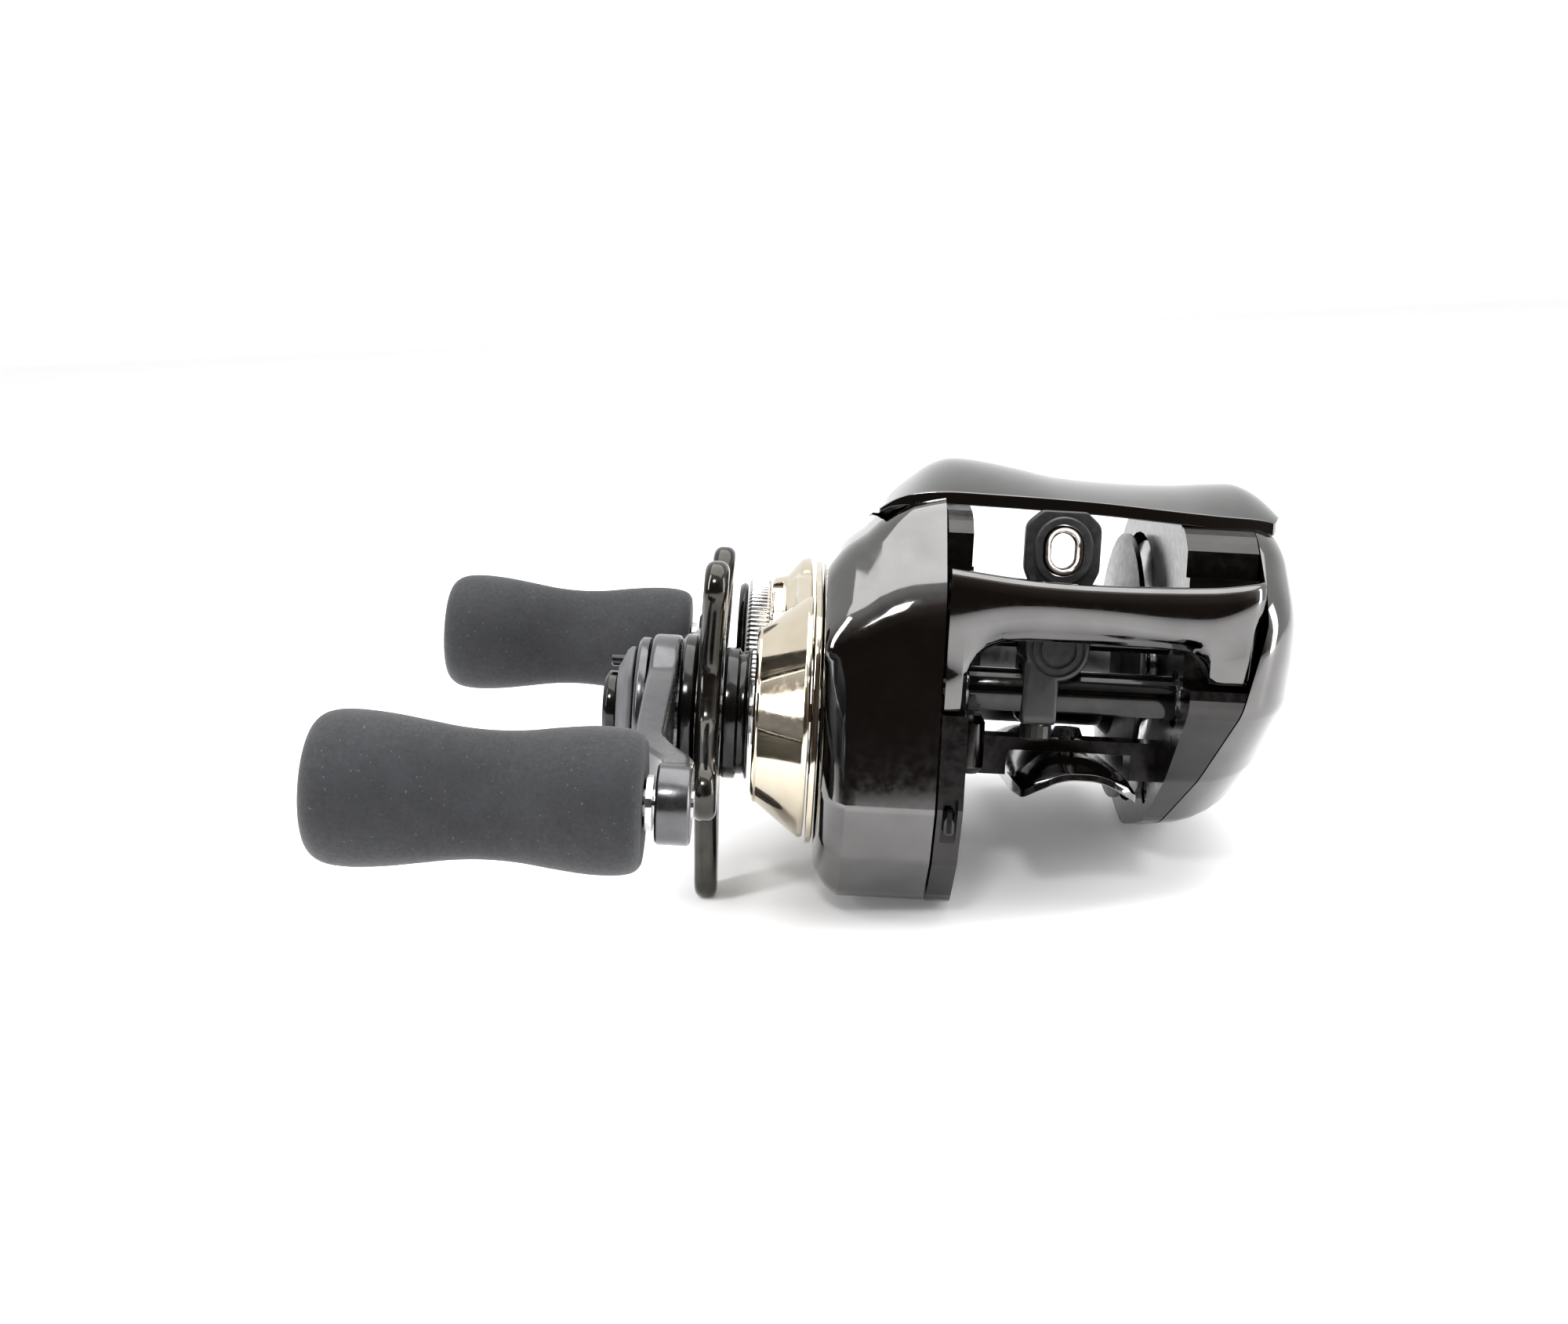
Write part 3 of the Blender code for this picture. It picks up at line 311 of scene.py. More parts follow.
def lathe(name, profile, centre, finish, body, slot, *nodes, steps=64, round_by=0.12, segments=2,
          ripple=None):
    """A turned ring about an axis along X. The profile is a closed outline of (radius, x) points."""
    outline = fillet([(*point, round_by) for point in profile], segments)
    rows = rings_about(outline, centre, steps, ripple)
    faces = rings_to_faces(len(rows), steps, loop=True)
    return new_piece(name, flat(rows), faces, finish, body, slot, *nodes)


def spun(name, profile, centre, finish, body, slot, *nodes, steps=64, round_by=0.15, ripple=None):
    """A turned solid about an axis along X, whose profile starts and ends on the axis (radius 0)."""
    outline = fillet([(*point, round_by) for point in profile], 2, closed=False)
    outline = [(max(radius, NEAR_AXIS), x) for radius, x in outline]
    rows = rings_about(outline, centre, steps, ripple)
    return new_piece(name, flat(rows), rings_to_faces(len(rows), steps), finish, body, slot, *nodes)


def step(t):
    """Rises smoothly from 0 to 1 as t does."""
    t = min(max(t, 0.0), 1.0)
    return t * t * (3 - 2 * t)


def curve(points, x):
    """A smooth line through (x, value) knots, with natural slopes at the knots."""
    if x <= points[0][0]:
        return points[0][1]
    if x >= points[-1][0]:
        return points[-1][1]
    slopes = []
    for i in range(len(points)):
        a = points[max(i - 1, 0)]
        b = points[min(i + 1, len(points) - 1)]
        slopes.append((b[1] - a[1]) / (b[0] - a[0]))
    for i in range(len(points) - 1):
        x0, v0 = points[i]
        x1, v1 = points[i + 1]
        if x <= x1:
            h = x1 - x0
            t = (x - x0) / h
            return (v0 * (1 + 2 * t) * (1 - t) ** 2 + slopes[i] * h * t * (1 - t) ** 2
                    + v1 * t * t * (3 - 2 * t) + slopes[i + 1] * h * t * t * (t - 1))


def line(points, x):
    """Straight runs through (x, value) knots."""
    if x <= points[0][0]:
        return points[0][1]
    for (x0, v0), (x1, v1) in zip(points, points[1:]):
        if x <= x1:
            return v0 + (v1 - v0) * (x - x0) / (x1 - x0)
    return points[-1][1]


def shrink(outline, amount):
    """Draws an outline in towards its middle by the same amount everywhere."""
    middle = Vector((sum(p[0] for p in outline), sum(p[1] for p in outline))) / len(outline)
    drawn = []
    for point in outline:
        arm = Vector(point) - middle
        drawn.append(tuple(middle + arm * (1 - amount / arm.length)))
    return drawn


def add_bevel(obj, width, segments=3, angle=35):
    edge = obj.modifiers.new("edge", "BEVEL")
    edge.width = width * MM
    edge.segments = segments
    edge.limit_method = "ANGLE"
    edge.angle_limit = math.radians(angle)
    edge.harden_normals = True


def cut(obj, tool, operation="DIFFERENCE", sharp=30.0):
    """Cuts or joins with another mesh and keeps the result."""
    modifier = obj.modifiers.new("cut", "BOOLEAN")
    modifier.object = tool
    modifier.solver = "EXACT"
    modifier.operation = operation
    bpy.context.view_layer.update()
    result = obj.evaluated_get(bpy.context.evaluated_depsgraph_get())
    mesh = bpy.data.meshes.new_from_object(result)
    obj.modifiers.clear()
    obj.data = mesh
    bpy.data.objects.remove(tool)
    shape = bmesh.new()
    shape.from_mesh(mesh)
    bmesh.ops.remove_doubles(shape, verts=shape.verts, dist=0.000005)
    shape.to_mesh(mesh)
    shape.free()
    mesh.shade_smooth()
    mesh.set_sharp_from_angle(angle=math.radians(sharp))


def seat(obj, body, slot, *nodes):
    """Hangs a finished piece on its body in the place of CAD nodes."""
    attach(obj, body)
    if nodes:
        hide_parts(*nodes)
    return obj


def loft(name, rows, finish, body=None, slot=None, *nodes, sharp=30.0):
    """A solid through rows of points, closed at both ends."""
    faces = rings_to_faces(len(rows), len(rows[0]))
    return new_piece(name, flat(rows), faces, finish, body, slot, *nodes, sharp=sharp)


def slab(name, outline, axis, start, end, edge, finish):
    """An outline given depth along X (axis 0) or Y (axis 1), with rounded rims."""
    segments = 3
    depths = []
    for k in range(segments + 1):
        turn = math.pi / 2 * k / segments
        depths.append((edge * (1 - math.sin(turn)), edge * (1 - math.cos(turn))))
    rims = [(start + back, side) for side, back in depths]
    rims += [(end - back, side) for side, back in reversed(depths)]
    rows = []
    for at, amount in rims:
        row = []
        for u, v in shrink(outline, amount) if amount else outline:
            row.append((u, at, v) if axis else (at, u, v))
        rows.append(row)
    return loft(name, rows, finish, sharp=35.0)


def bore(start, end, radius, centre, steps=48):
    """A round cutting pin along X."""
    profile = [(0, start), (radius, start), (radius, end), (0, end)]
    return spun("bore", profile, centre, "black", None, None, steps=steps, round_by=0.0)


def hoop(outer, inner, start, end, centre, steps=64):
    """A ring about an axis along Y, for cutting round grooves; the centre is (x, z)."""
    corners = ((outer, start), (outer, end), (inner, end), (inner, start))
    rows = []
    for radius, y in corners:
        rows.append([(centre[0] + radius * math.cos(a), y, centre[1] + radius * math.sin(a))
                     for a in angles(steps)])
    faces = rings_to_faces(len(corners), steps, loop=True)
    return new_piece("hoop", flat(rows), faces, "black", None, None)


# ---------------------------------------------------------------- body covers

# Side outlines as (y, z, corner radius)
GEAR_SIDE = [(-33, -4, 2), (-33, 21, 12), (-23.5, 33.0, 8), (-10, 33.6, 12), (5, 34, 12), (18, 31.5, 12),
             (30, 23, 10), (33, 8, 10), (24, -4, 12), (8, -13, 12), (-6, -16.9, 9), (-22, -16.9, 7),
             (-29.5, -10.5, 4)]
PALM_SIDE = [(-33, 9.5, 3), (-33, 21, 12), (-23.5, 30.6, 12), (-10, 33.8, 12), (5, 34.2, 12),
             (16, 31.8, 12), (27, 23, 10), (28.5, 8, 12), (20, -6.5, 12), (6, -10.4, 12), (-9, -7.5, 10),
             (-22, 0, 10)]
GEAR_MIDDLE, PALM_MIDDLE = (0.0, 8.0), (2.0, 14.0)
SHELL = 1.3

# The palm side's seam is upright at the top and leans in below
SEAM_TOP, SEAM_LOW = 19.5, 12.4
SEAM_LEAN = (SEAM_TOP - SEAM_LOW) / 31.0
SEAM = 0.18

# The hood's ridge and front lip as (x, z)
HOOD_RIDGE = [(-25.7, 31.0), (-23.7, 33.2), (-21.3, 35.3), (-18.9, 37.1), (-16.5, 38.0), (-13.1, 37.95),
              (-8.0, 37.2), (-3.0, 36.3), (4.3, 35.9), (12.0, 36.0), (18.0, 36.5), (20.3, 36.5),
              (22.6, 35.4), (24.4, 33.4), (26.0, 30.6)]
HOOD_LIP = [(-25.7, 31.2), (-24.4, 32.0), (-22.2, 32.8), (-19.0, 33.15), (-11.6, 33.4), (-5.0, 33.4),
            (1.7, 33.15), (8.7, 32.6), (15.7, 31.9), (22.0, 31.1), (26.0, 30.0)]
HOOD_FRONT, HOOD_PEAK, HOOD_REAR = -22.5, -5.0, 4.0
HOOD_LEFT, HOOD_THICK = -25.7, 1.6


def gear_rows():
    """Rows from the seam to the handle side: a flat front, a crease, then a rounded shoulder."""
    stations = [(x, 0.0) for x in (PARTING, -19.5, -21.5, -23.5, -25.5, -27.0, -28.3)]
    stations += [(-29.1, 0.5), (-29.9, 1.25), (-30.6, 2.2), (-31.1, 3.2), (-31.45, 4.4), (COVER_OUT, 5.8)]
    knots = [(COVER_OUT, 0.68), (-29.6, 0.76), (-27.2, 0.82), (-25.5, 0.88), (-22.0, 0.96), (PARTING, 1.0)]
    middle = Vector(GEAR_MIDDLE)
    rows = []
    for x, amount in stations:
        squash = curve(knots, x)
        row = []
        for y, z in fillet(GEAR_SIDE, 9):
            arm = Vector((y, z)) - middle
            arm *= 1 - amount * (1 - 0.8 * step((z - middle.y) / 14.0)) / arm.length
            y, z = middle + arm
            if z > DRIVE[1]:
                z = DRIVE[1] + (z - DRIVE[1]) * squash
            row.append((x, y, z))
        rows.append(row)
    return rows


def cap_shell(name, outer, wall, inward, middle, finish):
    """A cup: outer rows run from the open rim to the closed end, and the inside follows them."""
    count = len(outer[0])
    end = outer[-1][0][0]
    inner = []
    for row in reversed(outer):
        drawn = []
        for x, y, z in row:
            arm = Vector((y - middle[0], z - middle[1]))
            arm *= max(0.05, 1 - wall / max(arm.length, wall * 2))
            back = min(x, end - wall) if inward < 0 else max(x, end + wall)
            drawn.append((back, middle[0] + arm.x, middle[1] + arm.y))
        inner.append(drawn)
    rows = outer + inner
    turn = len(outer) - 1
    faces = rings_to_faces(len(rows), count, loop=True)
    faces = faces[:turn * count] + faces[(turn + 1) * count:]
    faces.append(tuple(range(turn * count, (turn + 1) * count)))
    faces.append(tuple(range((turn + 1) * count, (turn + 2) * count)))
    return new_piece(name, flat(rows), faces, finish, None, None)


def palm_seam(z):
    return min(SEAM_TOP, SEAM_LOW + SEAM_LEAN * (z + 11.0))


def palm_rows():
    """Rows of the palm side's dome, from just inside the seam to the outermost point."""
    outline = fillet(PALM_SIDE, 9)
    rows = []
    for t in (-0.12, 0.0, 0.12, 0.25, 0.38, 0.5, 0.6, 0.69, 0.77, 0.84, 0.895, 0.94, 0.97, 0.988, 0.997):
        scale = math.sqrt(1 - t * t)
        row = []
        for y, z in outline:
            y = PALM_MIDDLE[0] + (y - PALM_MIDDLE[0]) * scale
            z = PALM_MIDDLE[1] + (z - PALM_MIDDLE[1]) * scale
            start = palm_seam(z) + SEAM
            row.append((start + (PALM_OUT - start) * t, y, z))
        rows.append(row)
    return rows


def hood_right(y):
    """The hood ends along the palm dome, seen from above."""
    half_length, bulge = 25.5, 6.4
    across = min(0.96, abs(y - PALM_MIDDLE[0]) / half_length)
    return SEAM_TOP + bulge * math.sqrt(1 - across * across)


def hood_top(x, y):
    """Height of the hood: a ridge across the reel, falling to the lip in front."""
    ridge = curve(HOOD_RIDGE, x)
    along = (y - HOOD_PEAK) / (HOOD_PEAK - HOOD_FRONT)
    if y < HOOD_PEAK:
        return ridge - (ridge - curve(HOOD_LIP, x)) * along ** 2
    return ridge - 1.6 * along ** 2


def hood_wall(x):
    """The hood is thin at its pointed left end."""
    thin, taper = 0.6, 5.0
    return thin + (HOOD_THICK - thin) * step((x - HOOD_LEFT) / taper)


def hood_skin(margin, above):
    """A closed sheet on the hood's surface; with a margin it is the room that the hood needs."""
    columns, rows, bow = 96, 30, 1.6
    left = HOOD_LEFT - margin
    tops, bottoms = [], []
    for j in range(rows + 1):
        for i in range(columns + 1):
            u = i / columns
            front = HOOD_FRONT - margin + bow * (2 * u - 1) ** 2
            y = front + (HOOD_REAR + margin - front) * (j / rows) ** 1.5
            x = left + (hood_right(y) + margin - left) * u
            tops.append((x, y, hood_top(x, y) + above))
            bottoms.append((x, y, hood_top(x, y) - hood_wall(x) - margin))
    return tops + bottoms, sheet_faces(columns, rows)


def hood_room():
    vertices, faces = hood_skin(SEAM, 10.0)
    return new_piece("hood_room", vertices, faces, "black", None, None)


def seam_room():
    """Everything on the spool side of the palm seam."""
    far = 60.0
    outline = [(palm_seam(-30.0) + SEAM, -30.0), (SEAM_TOP + SEAM, 20.0), (SEAM_TOP + SEAM, far),
               (-30.0, far), (-30.0, -30.0)]
    rows = [[(x, y, z) for x, z in outline] for y in (-far, far)]
    return loft("seam_room", rows, "black")


def make_gear_side():
    cover = cap_shell("gear_side_skin", gear_rows(), SHELL, 1, GEAR_MIDDLE, "gunmetal")
    cut(cover, hood_room())
    cut(cover, bore(-40, -25, 6.0, DRIVE))
    cut(cover, bore(-40, -25, 6.0, SPOOL))
    seat(cover, "body", "gunmetal", "gear_side_cover")


def make_palm_side():
    cover = cap_shell("palm_side_skin", palm_rows(), SHELL, -1, PALM_MIDDLE, "gunmetal")
    cut(cover, seam_room())
    cut(cover, hood_room())
    seat(cover, "body", "gunmetal", "palm_side_cover")


def make_hood():
    vertices, faces = hood_skin(0.0, 0.0)
    hood = new_piece("hood_skin", vertices, faces, "gunmetal", "body", "gunmetal", "hood", sharp=50)
    add_bevel(hood, 0.3, 3, 55)


def nose_section(x):
    """The nose bar's outline in Y and Z at one place across the reel."""
    top = curve([(-17.5, 24.8), (-14.9, 24.5), (-10.0, 24.0), (-4.3, 23.7), (4.0, 23.7), (13.3, 24.1),
                 (17.7, 24.7), (19.3, 25.0)], x)
    low_edge = line([(-17.5, 7.8), (-15.5, 7.8), (-15.3, 11.0), (-14.7, 13.0), (-13.9, 14.4),
                     (-12.8, 15.4), (-11.0, 16.2), (-8.0, 16.5), (0.0, 16.6), (8.0, 16.5), (10.8, 16.3),
                     (12.0, 15.9), (12.8, 15.0), (13.2, 13.7), (13.4, 12.4), (17.7, 12.4), (18.4, 15.0),
                     (19.3, 20.0)], x)
    front = curve([(-17.5, -33.0), (-8.0, -33.1), (5.0, -33.1), (14.0, -33.0), (17.5, -32.8),
                   (18.7, -32.4), (19.3, -31.7)], x)
    crease = curve([(-17.5, 16.5), (-10.0, 19.0), (0.0, 19.2), (9.0, 18.4), (14.0, 18.6), (19.3, 21.5)], x)
    crease = max(crease, low_edge + 1.2)
    lean = 2.2 * step((x + 17.5) / 7.0) * (1 - 0.7 * step((x - 12.0) / 3.0))
    mid = (crease + low_edge) / 2
    back = -28.4
    return [(back, top - 1.0), (front + 2.6, top - 0.1), (front + 1.5, top), (front + 0.8, top - 0.1),
            (front + 0.35, top - 0.4), (front + 0.1, top - 0.9), (front - 0.05, top - 2.0),
            (front - 0.05, top * 0.45 + crease * 0.55), (front + 0.05, crease + 0.25),
            (front + 0.25, crease - 0.3), (front + 0.25 + lean * 0.45, mid),
            (front + 0.3 + lean * 0.8, low_edge + 0.7), (front + 0.55 + lean * 0.85, low_edge + 0.2),
            (front + 1.0 + lean * 0.9, low_edge), (back, low_edge)]


def make_nose():
    """The bar across the front, with sections close together where its lower edge turns."""
    places = [-17.38, -17.2, -16.6, -16.0, -15.55, -15.5, -15.4, -15.3, -15.0, -14.7, -14.3, -13.9, -13.3,
              -12.8, -12.0, -11.0]
    places += [-11.0 + 0.75 * k for k in range(1, 29)]
    places += [10.8, 11.4, 12.0, 12.4, 12.8, 13.0, 13.2, 13.3, 13.4, 13.45, 14.2, 15.0, 15.8, 16.6, 17.2,
               17.7, 18.0, 18.4, 18.8, 19.1, 19.3]
    rows = [[(x, y, z) for y, z in nose_section(x)] for x in places]
    nose = loft("nose_skin", rows, "gunmetal", "body", "gunmetal", "nose_cover", sharp=40)
    add_bevel(nose, 0.12, 2, 50)


def make_pillar():
    """The round pillar where the lower bar meets the gear side's wall."""
    x, y = -12.7, -16.6
    corners = [(1.2, -1.2), (1.9, -0.4, 0.5), (1.9, 5.2, 0.6), (1.3, 6.2, 0.3), (0.4, 6.3)]
    rows = []
    for radius, z in fillet(corners, 4, closed=False):
        rows.append([(x + radius * math.cos(a), y + radius * math.sin(a), z) for a in angles(32)])
    loft("pillar", rows, "frame_black", "body", "gunmetal", sharp=50)


# ---------------------------------------------------------------- foot

def make_foot():
    """The arched rod seat with thin rounded ends."""
    across, along = 24, 80
    half_length, half_width, arch = 28.0, 7.35, 3.0
    tops, bottoms = [], []
    for j in range(along + 1):
        v = 2 * j / along - 1
        ends = step((abs(v) - 0.6) / 0.4)
        round_end = math.sqrt(max(0.0, 1 - max(0.0, (abs(v) - 0.9) / 0.1) ** 2))
        half = half_width * (1 - 0.06 * ends) * (0.6 + 0.4 * round_end)
        for i in range(across + 1):
            u = 2 * i / across - 1
            drop = arch * (max(0.0, abs(u) - 0.15) * half / half_width / 0.85) ** 2
            edge = 0.35 * step((abs(u) - 0.9) / 0.1)
            bottoms.append((half * u, half_length * v, -drop))
            tops.append((half * u, half_length * v, 1.5 - 0.6 * ends - 0.85 * drop - edge))
    faces = sheet_faces(across, along)
    foot = new_piece("foot_skin", tops + bottoms, faces, "gunmetal", "body", "gunmetal", "reel_foot")
    add_bevel(foot, 0.2, 3, 50)


# ---------------------------------------------------------------- gold side

def make_gold_side():
    """The clutch cone, its web and the cast control's raised housing."""
    cone = spun("clutch_cone", [
        (0, -32.95), (15.2, -32.95), (15.25, -33.6), (11.1, -39.1), (11.15, -39.35), (10.75, -39.75),
        (10.2, -39.5), (9.8, -38.9), (0, -38.6),
    ], DRIVE, "gold", None, None, steps=96, round_by=0.25)
    web = fillet([(-16.0, 17.5, 3.0), (-3.0, 21.5, 6.0), (8.0, 22.8, 8.0), (17.0, 15.0, 8.0),
                  (15.0, 4.0, 6.0), (4.0, -6.0, 6.0), (-10.0, -9.0, 3.0)], 8)
    cut(cone, slab("web", web, 0, -35.2, -33.0, 0.5, "gold"), "UNION")
    boss = spun("cast_boss", [
        (0, -33.1), (12.6, -33.1), (12.2, -34.6), (9.9, -36.4), (9.5, -38.2), (8.9, -38.35), (0, -38.2),
    ], SPOOL, "gold", None, None, steps=96, round_by=0.5)
    cut(cone, boss, "UNION")
    for y in (-3.2, 1.6):
        cut(cone, bore(-38.6, -36.9, 1.15, (y, 20.2), 24))
    keyway = fillet([(-3.2, 19.5), (1.6, 19.5), (1.6, 20.9), (-3.2, 20.9)])
    cut(cone, slab("keyway", keyway, 0, -38.6, -36.9, 0.0, "gold"))
    cut(cone, bore(-50, -38.0, 7.9, SPOOL))
    cut(cone, bore(-50, -30, 6.1, DRIVE))
    cut(cone, bore(-50, -30, 1.9, SPOOL))
    seat(cone, "body", "gold", "clutch_housing")
    add_bevel(cone, 0.12, 2, 45)
    outline = fillet([(-28.9, -1.0, 9.0), (-26.5, 17.0, 8.0), (-12.0, 21.0, 6.0), (-3.0, 22.4, 6.0),
                      (8.0, 23.6, 6.0), (17.0, 15.6, 6.0), (15.4, 3.6, 5.0), (2.0, -9.0, 8.0),
                      (-12.0, -12.2, 8.0), (-24.0, -9.0, 8.0)], 8)
    band = slab("cone_band", outline, 0, -32.65, -31.85, 0.2, "gold")
    cut(band, bore(-50, -30, 6.1, DRIVE))
    cut(band, bore(-50, -30, 1.9, SPOOL))
    seat(band, "body", "gold", "housing_band")


def make_cast_control():
    """The knurled cap and the black disc in its face."""
    knurls, depth = 92, 0.11

    def knurl(radius, x, angle):
        return radius - depth + depth * math.sin(knurls * angle) if radius > 9.1 else radius
    cap = spun("cast_cap_skin", [
        (0, -38.55), (8.9, -38.55), (9.3, -38.9), (9.3, -41.0), (8.9, -41.4), (7.9, -41.4), (7.7, -41.0),
        (0, -41.0),
    ], SPOOL, "silver", None, None, steps=knurls * 8, round_by=0.08, ripple=knurl)
    seat(cap, "cast_knob", "silver", "cast_control_cap")
    spun("cast_cover_skin", [
        (0, -41.6), (8.3, -41.6), (8.7, -42.0), (8.3, -42.7), (6.4, -42.75), (5.8, -42.45), (0, -42.4),
    ], SPOOL, "black", "cast_knob", "black", "cast_control_cover", steps=96, round_by=0.3)


# ---------------------------------------------------------------- handle side

SPOKES, STAR_TIP, STAR_HUB = 5, 23.9, 11.2


def star_reach(turn):
    """The star's outline: distance from the axis at an angle measured from a spoke's middle."""
    half = 3.4
    share = math.pi / SPOKES
    swing = abs((turn + share) % (2 * share) - share)
    centre = STAR_TIP - half
    if swing < math.atan(half / centre):
        flank = centre * math.cos(swing) + math.sqrt(half ** 2 - (centre * math.sin(swing)) ** 2)
    else:
        flank = half / math.sin(swing)
    return (flank ** 5 + STAR_HUB ** 5) ** 0.2


def make_star():
    """Five rounded spokes on a round hub."""
    steps, front, back, edge = 400, -46.7, -43.8, 1.15
    # The outline starts at the lowest spoke, which stands a little off the vertical
    lowest = math.radians(-87.5)
    outline = []
    for turn in angles(steps):
        radius = star_reach(turn)
        outline.append(Vector((radius * math.cos(turn + lowest), radius * math.sin(turn + lowest))))
    normals = []
    for k in range(steps):
        along = (outline[(k + 1) % steps] - outline[k - 1]).normalized()
        normals.append(Vector((-along.y, along.x)))
    quarter = [math.pi / 2 * k / 6 for k in range(7)]
    # Stations as (x, inset from the outline); None stands for the bore
    stations = [(front, None), (front, edge + 0.5)]
    stations += [(front + edge * (1 - math.cos(a)), edge * (1 - math.sin(a))) for a in quarter]
    stations += [(back - edge * (1 - math.sin(a)), edge * (1 - math.cos(a))) for a in quarter]
    stations += [(back, edge + 0.5), (back, None)]
    rows = []
    for x, amount in stations:
        row = []
        for k in range(steps):
            if amount is None:
                point = outline[k].normalized() * 2.7
            else:
                point = outline[k] + normals[k] * amount
            lean = 0.5 * step((point.length - 9.6) / 14.4)
            row.append((x + lean, DRIVE[0] + point.x, DRIVE[1] + point.y))
        rows.append(row)
    faces = rings_to_faces(len(rows), steps, loop=True)
    new_piece("star_skin", flat(rows), faces, "star", "star", "black", "star_drag", sharp=50)


def knob_centre(side):
    """The (y, z) of a knob's axis; side -1 is the front end of the handle."""
    reach = side * HANDLE_HALF
    return (DRIVE[0] + reach * math.cos(HANDLE_TILT), DRIVE[1] + reach * math.sin(HANDLE_TILT))


def make_arm():
    """The cranked handle bar with an eye for each knob."""
    cos, sin = math.cos(HANDLE_TILT), math.sin(HANDLE_TILT)
    # Stations as (distance from the hub, half width, crank towards the reel)
    ends = []
    for k in range(0, 89):
        s = k * 0.5
        hub = math.sqrt(max(0.0, 9.2 ** 2 - s * s))
        taper = 7.0 - 3.6 * step((s - 6) / 26)
        eye = math.sqrt(max(0.0, 3.9 ** 2 - (s - HANDLE_HALF) ** 2)) if s > 37.6 else 0.0
        half = max((hub ** 6 + taper ** 6) ** (1 / 6) if s < 40.5 else 0.0, eye)
        if s >= 44.0:
            half = max(eye, 2.2)
        ends.append((s, half, 3.9 * step((s - 25.5) / 10.5)))
    stations = [(-s, half, shift) for s, half, shift in reversed(ends[1:])] + ends
    rows = []
    for s, half, shift in stations:
        section = fillet([(-1.8, -half, 0.7), (-1.8, half, 0.7), (1.8, half, 0.7), (1.8, -half, 0.7)], 3)
        rows.append([(-51.0 + shift + x, DRIVE[0] + s * cos - w * sin, DRIVE[1] + s * sin + w * cos)
                     for x, w in section])
    arm = loft("arm_skin", rows, "arm")
    for side in (-1, 1):
        eye = spun("eye", [
            (0, -48.95), (4.1, -48.95), (4.35, -48.7), (4.35, -45.55), (4.1, -45.25), (0, -45.25),
        ], knob_centre(side), "arm", None, None, steps=72, round_by=0.2)
        cut(arm, eye, "UNION", sharp=35)
    cut(arm, bore(-60, -40, 2.7, DRIVE), sharp=35)
    for side in (-1, 1):
        cut(arm, bore(-60, -40, 1.75, knob_centre(side)), sharp=35)
    seat(arm, "handle", "black", "handle_arm")
    add_bevel(arm, 0.2, 2, 45)


def make_hub_rings():
    """The turned pieces on the drive shaft, between the gold cone and the handle nut."""
    lathe("spacer_skin", [
        (2.7, -48.9), (9.3, -48.9), (9.7, -48.5), (9.7, -47.3), (9.3, -46.9), (2.7, -46.9),
    ], DRIVE, "black", "handle", "black", "star_spacer", steps=96, round_by=0.2)
    lathe("hub_washer_skin", [
        (3.9, -54.5), (8.6, -54.5), (9.0, -54.1), (9.0, -53.1), (3.9, -53.1),
    ], DRIVE, "arm", "handle", "black", "handle_washer", steps=96, round_by=0.25)
    lathe("sleeve_skin", [
        (4.2, -43.6), (8.1, -43.6), (8.3, -43.2), (8.3, -41.9), (7.7, -41.6), (7.7, -40.9), (8.3, -40.6),
        (8.3, -40.3), (4.2, -40.3),
    ], DRIVE, "black", "star", "black", "star_sleeve", steps=96, round_by=0.15)
    spun("nut_skin", [
        (0, -53.15), (3.6, -53.15), (3.6, -57.0), (4.6, -57.0), (4.6, -58.1), (4.1, -58.6), (3.2, -58.6),
        (2.9, -58.3), (0, -58.3),
    ], DRIVE, "black", "handle", "black", "handle_nut", steps=72, round_by=0.2)

    def lobes(radius, x, angle):
        if radius < 5.0:
            return radius
        return radius * (0.93 + 0.07 * math.tanh(2.2 * math.cos(3 * angle)))
    lathe("retainer_skin", [
        (3.9, -56.7), (5.6, -56.9), (6.3, -56.5), (7.6, -55.9), (8.1, -55.4), (8.1, -54.8), (3.9, -54.8),
    ], DRIVE, "retainer", "handle", "rubber", "nut_retainer", steps=120, round_by=0.4, segments=3,
          ripple=lobes)


